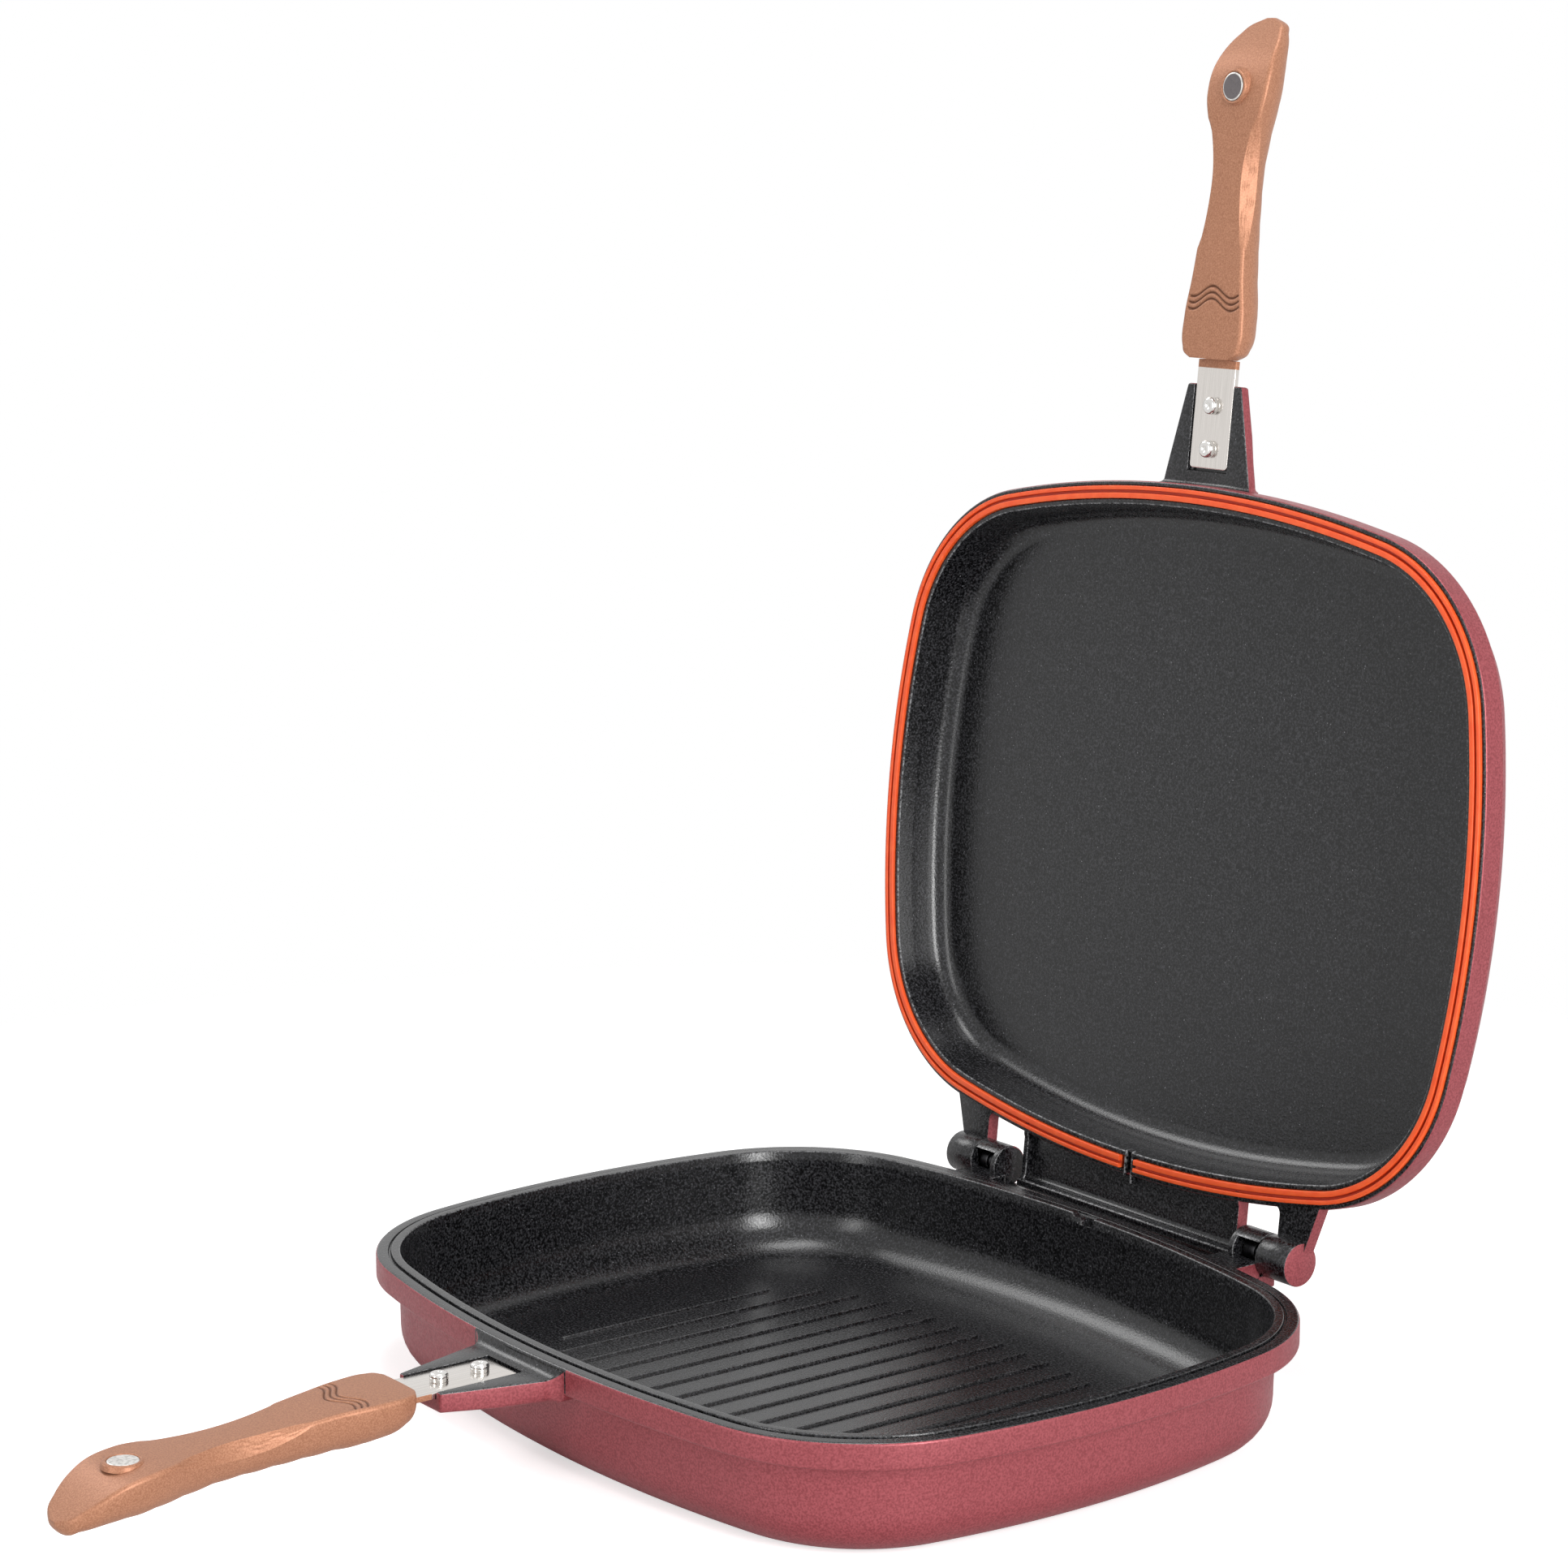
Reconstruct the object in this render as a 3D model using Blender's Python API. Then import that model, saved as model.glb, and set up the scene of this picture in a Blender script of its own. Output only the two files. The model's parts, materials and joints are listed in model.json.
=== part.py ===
"""Double sided flip pan: two cast shells on a hooked hinge, each with a riveted tang and a handle.

Metres, +Z up. The origin is the centre of the lower pan's flat base. The hinge runs along +X
behind the pan, and the handles point towards -Y. The lid stands open on its stop.
"""

import math
from collections import namedtuple

import bmesh
import bpy
import numpy as np
from mathutils import Vector

# Rim outline from above: four bulged sides and four corner arcs
RIM_HALF_WIDTH = 0.2011
RIM_HALF_DEPTH = 0.1630
SIDE_BULGE_RADIUS = 0.4396
FRONT_BULGE_RADIUS = 0.6356
CORNER_RADIUS = 0.0865
SIDE_STEPS = 3
CORNER_STEPS = 8
SHARP_ANGLE = math.radians(32)

# Shells
LOWER_HEIGHT = 0.0540
UPPER_DEPTH = 0.0300
WALL = 0.0030
LOWER_FLOOR = 0.0045
UPPER_FLOOR = 0.0040
BODY_TAPER = 0.0006
LOWER_BOTTOM_RADIUS = 0.0198
UPPER_BOTTOM_RADIUS = 0.0160
LOWER_INNER_RADIUS = 0.0225
UPPER_INNER_RADIUS = 0.0140
RADIUS_STEPS = 4

# Rim band and what its flat side carries
BAND_HEIGHT = 0.0118
BAND_WIDTH = 0.0104
BAND_EDGE = 0.0010
BAND_ROOT_FILLET = 0.0018
BAND_ROOT_EASE = 0.0006
LAND_WIDTH = 0.0055
GROOVE_WIDTH = 0.0015
GROOVE_FLANK = 0.0004
GROOVE_DEPTH = 0.0012
BEAD_WIDTH = 0.0040
BEAD_RISE = 0.0006
BEAD_EDGE = 0.0008
BEAD_NOTCH_WIDTH = 0.0100
SEAL_INSET = 0.0024
SEAL_WIDTH = 0.0060
SEAL_PROUD = 0.0015
SEAL_DEPTH = 0.0032
LIP_WIDTH = 0.0021
LIP_EDGE = 0.0004
LIP_GROOVE_FLOOR = 0.0004
VENT_WIDTH = 0.0060
VENT_DEPTH = 0.0026
SEAL_GAP_WIDTH = 0.0086

# Clearances
PIECE_GAP = 0.0003
TANG_SIDE_GAP = 0.0006
PIN_PLAY = 0.0006
CLOSED_SEAL_GAP = 0.0003
STOP_GAP = 0.0003
CUT_OVERRUN = 0.0040

# Hinge
HINGE_BACK = 0.0144
OPEN_ANGLE = math.radians(95.6)
BARREL_RADIUS = 0.0100
BARREL_OUTER_X = 0.1170
BARREL_LENGTH = 0.0175
BARREL_STEPS = 20
ARM_INNER_X = 0.1013
ARM_ROOT_OUTER_X = 0.1234
ARM_THICKNESS = 0.0065
ARM_BURY = 0.0018
PIN_RADIUS = 0.0042
PIN_IN_BARREL = 0.0138
PIN_GROOVE_WIDTH = 0.0013
PIN_GROOVE_DEPTH = 0.0008
PIN_NOSE = 0.0006
HOOK_LENGTH = 0.0172
HOOK_END_WALL = 0.0033
WINDOW_RISE = 0.0062
WINDOW_SETBACK = 0.0008
FLANGE_THICKNESS = 0.0062
FLANGE_TAIL = 0.0040
FLANGE_BURY = 0.0118
FLANGE_STEPS = 12

# Drip trough on the lid, between the hinge arms
TROUGH_HALF_WIDTH = 0.0750
TROUGH_WALL = 0.0030
TROUGH_RECESS = 0.0040
TROUGH_BEHIND_AXIS = 0.0041
TROUGH_LIP = 0.0039
TROUGH_LIP_PAST_AXIS = 0.0008
TROUGH_FILLET = 0.0030
TROUGH_BURY = 0.0014

# Ridges on the lower floor
RIDGE_PITCH = 0.0162
RIDGE_PAIRS = 8
RIDGE_WIDTH = 0.0026
RIDGE_TOP_WIDTH = 0.0015
RIDGE_HEIGHT = 0.0011
RIDGE_SINK = 0.0008
RIDGE_END_SLOPE = 0.0016
RIDGE_FIELD_HALF_WIDTH = 0.1280
RIDGE_FIELD_HALF_DEPTH = 0.0975
RIDGE_FIELD_POWER = 3.6

# Handle brackets cast on both rims: the lid's lies deeper behind its rim and is thinner
LOWER_BRACKET_DROP = 0.0052
LOWER_BRACKET_LENGTH = 0.0483
LOWER_RAMP_START = 0.0008
LOWER_RAMP_LENGTH = 0.0052
LOWER_FLARE_HALF = 0.0370
LOWER_TIP_HALF = 0.0160
LOWER_ROOT_BOTTOM = 0.0158
LOWER_TIP_BOTTOM = 0.0138
UPPER_BRACKET_DROP = 0.0100
UPPER_BRACKET_LENGTH = 0.0465
UPPER_RAMP_START = 0.0084
UPPER_RAMP_LENGTH = 0.0020
UPPER_FLARE_HALF = 0.0310
UPPER_TIP_HALF = 0.0176
UPPER_ROOT_BOTTOM = 0.0164
UPPER_TIP_BOTTOM = 0.0156
BRACKET_ROOT_HALF = 0.0283
BRACKET_RAMP_STEPS = 4
BRACKET_BURY = 0.0118
BRACKET_RIM_BURY = 0.0014
BRACKET_UNDER_CHANNEL = 0.0010
POCKET_WALL = 0.0063
POCKET_DEPTH = 0.0034

# Tangs and rivets
TANG_HALF_WIDTH = 0.0125
TANG_THICKNESS = 0.0025
TANG_CORNER = 0.0020
TANG_TAIL_HALF = 0.0075
TANG_TAIL_LENGTH = 0.0420
LOWER_RIVET_SETBACK = 0.0188
UPPER_RIVET_SETBACK = 0.0168
RIVET_PITCH = 0.0200
RIVET_SHANK_RADIUS = 0.0024
RIVET_HEAD_RADIUS = 0.0038
RIVET_HEAD_HEIGHT = 0.0040
RIVET_HEAD_ROUND = 0.0010
RIVET_HEAD_EASE = 0.00025
RIVET_CROWN_RADIUS = 0.0018
RIVET_DISH_RADIUS = 0.0015
RIVET_DISH = 0.0006
RIVET_TAIL_RADIUS = 0.0036
RIVET_TAIL_HEIGHT = 0.0012
RIVET_STEPS = 16

# Handles, as shares of their length, half width, drop and depth
HANDLE_ROOT_SETBACK = 0.0582
HANDLE_LENGTH = 0.1570
HANDLE_HALF_WIDTH = 0.0198
HANDLE_DEPTH = 0.0205
LOWER_FACE_ROOT_DROP = 0.0024
LOWER_FACE_BOSS_DROP = 0.0086
LOWER_HANDLE_DROOP = 0.0168
UPPER_FACE_ROOT_DROP = 0.0044
UPPER_FACE_BOSS_DROP = 0.0064
UPPER_HANDLE_DROOP = 0.0178
HANDLE_EDGE = 0.0020
EDGE_LIMIT_SHARE = 0.33
EDGE_CUT_SHARE = 0.25
HANDLE_RINGS = 26
HANDLE_BELLY_STEPS = 10
HANDLE_BELLY_POWER_SHARE = 0.70
STATION_SHARES = (0.0, 0.012, 0.035, 0.12, 0.235, 0.345, 0.45, 0.555, 0.66, 0.77, 0.87, 0.95, 0.985, 1.0)
WIDTH_SHARES = (0.68, 0.86, 0.96, 1.0, 0.83, 0.72, 0.645, 0.61, 0.73, 0.97, 0.93, 0.69, 0.44, 0.14)
DEPTH_SHARES = (0.56, 0.70, 0.82, 0.94, 0.88, 0.76, 0.70, 0.71, 0.83, 0.96, 0.86, 0.55, 0.36, 0.14)
FACE_SHARES = (0.0, 0.0, 0.0, 0.05, 0.19, 0.45, 0.65, 0.77, 0.89, 1.0, 1.0, 1.0, 1.0, 1.0)
DROOP_SHARES = (0.0, 0.0, 0.0, 0.0, 0.0, 0.0, 0.0, 0.0, 0.0, 0.0, 0.21, 0.66, 0.90, 1.0)

# Magnets in the handle ends
MAGNET_PLACE_SHARE = 0.79
MAGNET_RADIUS = 0.0065
MAGNET_THICKNESS = 0.0030
MAGNET_PROUD = 0.0002
MAGNET_CHAMFER = 0.0002
BOSS_RISE = 0.0020
BOSS_TOP_RADIUS = 0.0078
BOSS_BASE_RADIUS = 0.0086
BOSS_BURY_SHARE = 0.45
MAGNET_STEPS = 24

# Heights and places that follow from the sizes above
CLOSED_GAP = BEAD_RISE + CLOSED_SEAL_GAP + SEAL_PROUD
LID_PLANE = LOWER_HEIGHT + CLOSED_GAP
HINGE_Y = RIM_HALF_DEPTH + HINGE_BACK
HINGE_Z = LOWER_HEIGHT + CLOSED_GAP / 2
FRONT = -RIM_HALF_DEPTH

Side = namedtuple("Side", "label plane sign carrier bracket grip")
Bracket = namedtuple("Bracket", "drop length ramp_start ramp_length flare tip_half root_bottom "
                                "tip_bottom rivet_setback")
Grip = namedtuple("Grip", "root_drop boss_drop droop")

LOWER_BRACKET = Bracket(
    LOWER_BRACKET_DROP, LOWER_BRACKET_LENGTH, LOWER_RAMP_START, LOWER_RAMP_LENGTH, LOWER_FLARE_HALF,
    LOWER_TIP_HALF, LOWER_ROOT_BOTTOM, LOWER_TIP_BOTTOM, LOWER_RIVET_SETBACK)
UPPER_BRACKET = Bracket(
    UPPER_BRACKET_DROP, UPPER_BRACKET_LENGTH, UPPER_RAMP_START, UPPER_RAMP_LENGTH, UPPER_FLARE_HALF,
    UPPER_TIP_HALF, UPPER_ROOT_BOTTOM, UPPER_TIP_BOTTOM, UPPER_RIVET_SETBACK)
LOWER_GRIP = Grip(LOWER_FACE_ROOT_DROP, LOWER_FACE_BOSS_DROP, LOWER_HANDLE_DROOP)
UPPER_GRIP = Grip(UPPER_FACE_ROOT_DROP, UPPER_FACE_BOSS_DROP, UPPER_HANDLE_DROOP)


def level(side, drop):
    """Height of a plane that lies a given drop behind a shell's rim plane."""
    return side.plane + side.sign * drop


# Meshes and objects

def paint(name, colour, roughness, metallic):
    """A Principled material of one colour."""
    material = bpy.data.materials.new(name)
    material.use_nodes = True
    shader = material.node_tree.nodes["Principled BSDF"]
    shader.inputs["Base Color"].default_value = (*colour, 1.0)
    shader.inputs["Roughness"].default_value = roughness
    shader.inputs["Metallic"].default_value = metallic
    material.diffuse_color = (*colour, 1.0)
    return material


def add_object(name, points, faces, material, carrier=None):
    """A mesh object with its faces turned outwards. On a carrier its origin is the hinge axis."""
    shift = Vector((0, 0, 0)) if carrier is None else carrier.location
    mesh = bpy.data.meshes.new(name)
    mesh.from_pydata([Vector(point) - shift for point in points], [], faces)
    shell = bmesh.new()
    shell.from_mesh(mesh)
    bmesh.ops.recalc_face_normals(shell, faces=shell.faces)
    shell.to_mesh(mesh)
    shell.free()
    mesh.shade_smooth()
    mesh.set_sharp_from_angle(angle=SHARP_ANGLE)
    piece = bpy.data.objects.new(name, mesh)
    bpy.context.scene.collection.objects.link(piece)
    piece.data.materials.append(material)
    if carrier is not None:
        piece.parent = carrier
    return piece


def ring_faces(rings, count, closed):
    """Faces between rings of equal point count. Open ones get a flat cap at each end."""
    faces = []
    last = rings if closed else rings - 1
    for row in range(last):
        near = row * count
        far = (row + 1) % rings * count
        for col in range(count):
            after = (col + 1) % count
            faces.append((near + col, near + after, far + after, far + col))
    if not closed:
        faces.append(tuple(range(count))[::-1])
        faces.append(tuple(range(last * count, (last + 1) * count)))
    return faces


def loft(name, rings, material, carrier=None, closed=False):
    """A solid that joins rings of equal point count."""
    points = [tuple(point) for ring in rings for point in ring]
    faces = ring_faces(len(rings), len(rings[0]), closed)
    return add_object(name, points, faces, material, carrier)


def turned(name, profile, steps, axis, centre, material, carrier=None):
    """A solid turned from (radius, height) pairs round the X or Z axis through centre."""
    angles = np.arange(steps) * (2 * math.pi / steps)
    rings = []
    for radius, height in profile:
        across = radius * np.cos(angles)
        along = radius * np.sin(angles)
        rise = np.full(steps, height)
        ring = np.c_[across, along, rise] if axis == "Z" else np.c_[rise, across, along]
        rings.append(ring + np.array(centre))
    return loft(name, rings, material, carrier)


def block(name, low, high, material, carrier=None):
    """A box between two corners."""
    ring = [(low[0], low[1]), (high[0], low[1]), (high[0], high[1]), (low[0], high[1])]
    rings = [[(x, y, z) for x, y in ring] for z in (low[2], high[2])]
    return loft(name, rings, material, carrier)


def slab(name, outline_points, low, high, axis, material, carrier=None):
    """A flat outline carried straight from low to high along X or Z."""
    if axis == "Z":
        rings = [[(a, b, step) for a, b in outline_points] for step in (low, high)]
    else:
        rings = [[(step, a, b) for a, b in outline_points] for step in (low, high)]
    return loft(name, rings, material, carrier)


def combine(target, tool, operation):
    """Boolean with a tool that stays in the file as a guide."""
    modifier = target.modifiers.new(tool.name, "BOOLEAN")
    modifier.operation = operation
    modifier.solver = "EXACT"
    modifier.object = tool
    tool.hide_render = True
    tool.display_type = "WIRE"


# Outline of the rim

def corner_centre():
    """Centre of the corner arc that is tangent inside to both bulged sides."""
    side = np.array((RIM_HALF_WIDTH - SIDE_BULGE_RADIUS, 0))
    front = np.array((0, RIM_HALF_DEPTH - FRONT_BULGE_RADIUS))
    reach_side = SIDE_BULGE_RADIUS - CORNER_RADIUS
    reach_front = FRONT_BULGE_RADIUS - CORNER_RADIUS
    span = np.linalg.norm(front - side)
    along = (front - side) / span
    foot = (reach_side ** 2 - reach_front ** 2 + span ** 2) / (2 * span)
    rise = math.sqrt(reach_side ** 2 - foot ** 2)
    return side + along * foot + np.array((-along[1], along[0])) * rise, side, front


def outline(inset):
    """Rim outline moved inwards by inset, anticlockwise from +X, with the same points each time."""
    corner, side, front = corner_centre()
    start = math.atan2(*(corner - side)[::-1])
    end = math.atan2(*(corner - front)[::-1])
    arcs = (
        (side, SIDE_BULGE_RADIUS, np.linspace(0, start, SIDE_STEPS + 1)),
        (corner, CORNER_RADIUS, np.linspace(start, end, CORNER_STEPS + 1)[1:]),
        (front, FRONT_BULGE_RADIUS, np.linspace(end, math.pi / 2, SIDE_STEPS + 2)[1:]),
    )
    quarter = np.vstack([
        centre + (radius - inset) * np.c_[np.cos(angles), np.sin(angles)]
        for centre, radius, angles in arcs
    ])
    half = np.vstack([quarter, quarter[-2::-1] * (-1, 1)])
    return np.vstack([half, half[-2:0:-1] * (1, -1)])


def rear_edge(x, inset=0.0):
    """Y of the rim's rear side at x, read from the outline."""
    plan = outline(inset)
    rear = plan[plan[:, 1] > 0]
    order = np.argsort(rear[:, 0])
    return float(np.interp(x, rear[order, 0], rear[order, 1]))


def rim_rings(profile):
    """One ring for each (inset, height) pair."""
    rings = []
    for inset, height in profile:
        plan = outline(inset)
        rings.append(np.c_[plan, np.full(len(plan), height)])
    return rings


def quarter_round(inset, height, radius, rise, inwards):
    """(inset, height) pairs of a quarter circle from a wall to a floor, or back."""
    angles = np.linspace(0, math.pi / 2, RADIUS_STEPS + 1)
    pairs = [(inset + radius * (1 - math.cos(a)), height + rise * radius * (1 - math.sin(a)))
             for a in angles]
    return pairs if inwards else pairs[::-1]


# Shells

def shell_profile(side, depth, floor, outer_radius, inner_radius, rim_face):
    """Section of a shell from its outer floor, over the band and rim face, to its inner floor."""
    outer_wall = BAND_WIDTH + BODY_TAPER
    inner_wall = outer_wall + WALL
    away = -side.sign
    outside = quarter_round(outer_wall, level(side, depth), outer_radius, away, False)
    band_root = [
        (BAND_WIDTH, level(side, BAND_HEIGHT + BAND_ROOT_FILLET)),
        (BAND_WIDTH - BAND_ROOT_EASE, level(side, BAND_HEIGHT + BAND_ROOT_EASE)),
        (BAND_WIDTH - BAND_ROOT_FILLET, level(side, BAND_HEIGHT)),
        (BAND_EDGE, level(side, BAND_HEIGHT)),
        (0, level(side, BAND_HEIGHT - BAND_EDGE)),
        (0, level(side, BAND_EDGE)),
        (BAND_EDGE, level(side, 0)),
    ]
    inner_root = [(BAND_WIDTH + WALL, level(side, BAND_HEIGHT))]
    inside = quarter_round(inner_wall, level(side, depth - floor), inner_radius, away, True)
    return outside + band_root + rim_face + inner_root + inside


def lower_rim_face(side):
    """Outer land, sealing groove and raised bead of the lower rim."""
    bead = LAND_WIDTH + GROOVE_WIDTH
    bead_end = bead + BEAD_WIDTH
    return [
        (LAND_WIDTH, level(side, 0)),
        (LAND_WIDTH + GROOVE_FLANK, level(side, GROOVE_DEPTH)),
        (bead - GROOVE_FLANK, level(side, GROOVE_DEPTH)),
        (bead, level(side, 0)),
        (bead + BEAD_EDGE, level(side, -BEAD_RISE)),
        (bead_end - BEAD_EDGE, level(side, -BEAD_RISE)),
        (bead_end, level(side, BEAD_EDGE - BEAD_RISE)),
    ]


def upper_rim_face(side):
    """Outer land, seal channel and inner land of the lid's rim."""
    start = SEAL_INSET - PIECE_GAP
    end = SEAL_INSET + SEAL_WIDTH + PIECE_GAP
    inner = LAND_WIDTH + GROOVE_WIDTH + BEAD_WIDTH
    return [
        (start, level(side, 0)),
        (start, level(side, SEAL_DEPTH)),
        (end, level(side, SEAL_DEPTH)),
        (end, level(side, 0)),
        (inner - BEAD_EDGE, level(side, 0)),
        (inner, level(side, BEAD_EDGE)),
    ]


def ridge(index):
    """Rings of one raised bar along Y on the lower floor, with sloping ends and flanks."""
    x = index * RIDGE_PITCH + RIDGE_PITCH / 2
    share = 1 - (abs(x) / RIDGE_FIELD_HALF_WIDTH) ** RIDGE_FIELD_POWER
    reach = RIDGE_FIELD_HALF_DEPTH * share ** (1 / RIDGE_FIELD_POWER)
    rings = []
    for half, end, height in (
        (RIDGE_WIDTH / 2, reach, LOWER_FLOOR - RIDGE_SINK),
        (RIDGE_WIDTH / 2, reach, LOWER_FLOOR),
        (RIDGE_TOP_WIDTH / 2, reach - RIDGE_END_SLOPE, LOWER_FLOOR + RIDGE_HEIGHT),
    ):
        rings.append([(x - half, -end, height), (x + half, -end, height),
                      (x + half, end, height), (x - half, end, height)])
    return rings


def ridge_field(material):
    """All ridges as one tool of separate bars."""
    points = []
    faces = []
    for index in range(-RIDGE_PAIRS, RIDGE_PAIRS):
        rings = ridge(index)
        bar_faces = ring_faces(len(rings), len(rings[0]), closed=False)
        faces += [tuple(len(points) + corner for corner in face) for face in bar_faces]
        points += [corner for ring in rings for corner in ring]
    return add_object("ridge_tool", points, faces, material)


def add_bracket(shell, side, material):
    """Tapered bracket with a ramp down from the rim and a pocket that holds the tang."""
    shape = side.bracket
    buried_top = max(SEAL_DEPTH + BRACKET_UNDER_CHANNEL, shape.ramp_start)
    stations = [
        (FRONT + BRACKET_BURY, shape.flare, buried_top, shape.root_bottom),
        (FRONT + BRACKET_RIM_BURY + PIECE_GAP, shape.flare, buried_top, shape.root_bottom),
        (FRONT + BRACKET_RIM_BURY, shape.flare, shape.ramp_start, shape.root_bottom),
    ]
    for turn in np.linspace(0, math.pi / 2, BRACKET_RAMP_STEPS + 1):
        y = FRONT - shape.ramp_length * (1 - math.cos(turn))
        flare = (shape.flare - BRACKET_ROOT_HALF) * (1 - math.sin(turn))
        drop = shape.ramp_start + (shape.drop - shape.ramp_start) * math.sin(turn)
        stations.append((y, BRACKET_ROOT_HALF + flare, drop, shape.root_bottom))
    stations.append((FRONT - shape.length, shape.tip_half, shape.drop, shape.tip_bottom))
    rings = []
    for y, half, top, bottom in stations:
        high = level(side, top)
        low = level(side, bottom)
        rings.append([(-half, y, low), (half, y, low), (half, y, high), (-half, y, high)])
    combine(shell, loft(side.label + "_bracket_tool", rings, material, side.carrier), "UNION")
    pocket_half = TANG_HALF_WIDTH + TANG_SIDE_GAP
    ends = sorted((level(side, shape.drop + POCKET_DEPTH), level(side, -CUT_OVERRUN)))
    pocket = block(
        side.label + "_pocket_tool",
        (-pocket_half, FRONT - shape.length - CUT_OVERRUN, ends[0]),
        (pocket_half, FRONT - POCKET_WALL, ends[1]),
        material, side.carrier)
    combine(shell, pocket, "DIFFERENCE")
    for number, y in enumerate(rivet_places(side)):
        hole = rivet_hole(side, side.label + "_floor_hole_tool_" + str(number), y, material)
        combine(shell, hole, "DIFFERENCE")


def rivet_places(side):
    """Y of the two rivets."""
    inner = FRONT - side.bracket.rivet_setback
    return inner, inner - RIVET_PITCH


def rivet_hole(side, name, y, material):
    """Cutter for a rivet shank through the tang and the pocket floor."""
    radius = RIVET_SHANK_RADIUS + PIECE_GAP
    profile = [(radius, level(side, 0)), (radius, level(side, side.bracket.root_bottom + CUT_OVERRUN))]
    return turned(name, profile, RIVET_STEPS, "Z", (0, y, 0), material, side.carrier)


def add_hooks(pan, material):
    """Rear flange, and on each side a C hook: a capped cup with a bore and a window to the front."""
    outer = BARREL_OUTER_X - BARREL_LENGTH - PIECE_GAP
    inner = outer - HOOK_LENGTH
    bore = PIN_RADIUS + PIN_PLAY
    top = flange_top()
    plan = [(x, rear_edge(x, FLANGE_BURY)) for x in np.linspace(-outer, outer, FLANGE_STEPS + 1)]
    plan += [(outer, HINGE_Y + FLANGE_TAIL), (-outer, HINGE_Y + FLANGE_TAIL)]
    combine(pan, slab("flange_tool", plan, top - FLANGE_THICKNESS, top, "Z", material), "UNION")
    for hand, label in ((-1, "left"), (1, "right")):
        cup = turned(label + "_hook_tool", [(BARREL_RADIUS, hand * inner), (BARREL_RADIUS, hand * outer)],
                     BARREL_STEPS, "X", (0, HINGE_Y, HINGE_Z), material)
        combine(pan, cup, "UNION")
        reach = (hand * (inner + HOOK_END_WALL), hand * (outer + CUT_OVERRUN))
        hole = turned(label + "_hook_bore_tool", [(bore, reach[0]), (bore, reach[1])],
                      BARREL_STEPS, "X", (0, HINGE_Y, HINGE_Z), material)
        combine(pan, hole, "DIFFERENCE")
        window = block(
            label + "_hook_window_tool",
            (min(reach), HINGE_Y - BARREL_RADIUS - CUT_OVERRUN, top + PIECE_GAP),
            (max(reach), HINGE_Y - WINDOW_SETBACK, HINGE_Z + WINDOW_RISE), material)
        combine(pan, window, "DIFFERENCE")


def flange_top():
    """Height of the flange that the trough's lip rests on when the lid is open."""
    reach = TROUGH_BEHIND_AXIS + TROUGH_LIP
    back = LID_PLANE - HINGE_Z + TROUGH_RECESS + TROUGH_WALL
    lowest = HINGE_Z - reach * math.sin(OPEN_ANGLE) + back * math.cos(OPEN_ANGLE)
    return lowest - STOP_GAP


def lower_pan(side, material):
    """Deep shell with ridged floor, rear hooks and handle bracket."""
    profile = shell_profile(side, LOWER_HEIGHT, LOWER_FLOOR, LOWER_BOTTOM_RADIUS,
                            LOWER_INNER_RADIUS, lower_rim_face(side))
    pan = loft("lower_pan", rim_rings(profile), material)
    combine(pan, ridge_field(material), "UNION")
    add_bracket(pan, side, material)
    add_hooks(pan, material)
    half = BEAD_NOTCH_WIDTH / 2
    notch = block(
        "bead_notch_tool",
        (-half, RIM_HALF_DEPTH - BAND_WIDTH - WALL, LOWER_HEIGHT - GROOVE_DEPTH),
        (half, RIM_HALF_DEPTH - LAND_WIDTH - GROOVE_WIDTH / 2, LOWER_HEIGHT + CUT_OVERRUN), material)
    combine(pan, notch, "DIFFERENCE")
    return pan


def add_hinge_arms(lid, side, material):
    """Arm and barrel on each side of the lid, with a blind bore for the pin."""
    inner = BARREL_OUTER_X - BARREL_LENGTH
    for hand, label in ((-1, "left"), (1, "right")):
        plan = [(hand * ARM_INNER_X, rear_edge(ARM_INNER_X, ARM_BURY)),
                (hand * ARM_ROOT_OUTER_X, rear_edge(ARM_ROOT_OUTER_X, ARM_BURY)),
                (hand * BARREL_OUTER_X, HINGE_Y - BARREL_RADIUS / 2),
                (hand * BARREL_OUTER_X, HINGE_Y),
                (hand * ARM_INNER_X, HINGE_Y)]
        arm = slab(label + "_arm_tool", plan, level(side, 0), level(side, ARM_THICKNESS), "Z",
                   material, side.carrier)
        combine(lid, arm, "UNION")
        barrel = turned(label + "_barrel_tool",
                        [(BARREL_RADIUS, hand * inner), (BARREL_RADIUS, hand * BARREL_OUTER_X)],
                        BARREL_STEPS, "X", (0, HINGE_Y, HINGE_Z), material, side.carrier)
        combine(lid, barrel, "UNION")
        bore = PIN_RADIUS + PIECE_GAP
        reach = (hand * (inner - PIECE_GAP), hand * (inner + PIN_IN_BARREL + PIECE_GAP))
        hole = turned(label + "_barrel_bore_tool", [(bore, reach[0]), (bore, reach[1])],
                      BARREL_STEPS, "X", (0, HINGE_Y, HINGE_Z), material, side.carrier)
        combine(lid, hole, "DIFFERENCE")


def trough_section(side):
    """(y, z) outline of the trough: a plate behind the rim plane and a lip across the axis."""
    front = level(side, TROUGH_RECESS)
    back = level(side, TROUGH_RECESS + TROUGH_WALL)
    lip = HINGE_Y + TROUGH_BEHIND_AXIS
    root = rear_edge(TROUGH_HALF_WIDTH, TROUGH_BURY)
    tip = HINGE_Z - TROUGH_LIP_PAST_AXIS
    outer = lip + TROUGH_LIP
    bend = [(lip - TROUGH_FILLET * (1 - math.sin(turn)), front - TROUGH_FILLET * (1 - math.cos(turn)))
            for turn in np.linspace(0, math.pi / 2, RADIUS_STEPS + 1)]
    return [(root, front)] + bend + [(lip, tip), (outer, tip), (outer, back), (root, back)]


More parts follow.
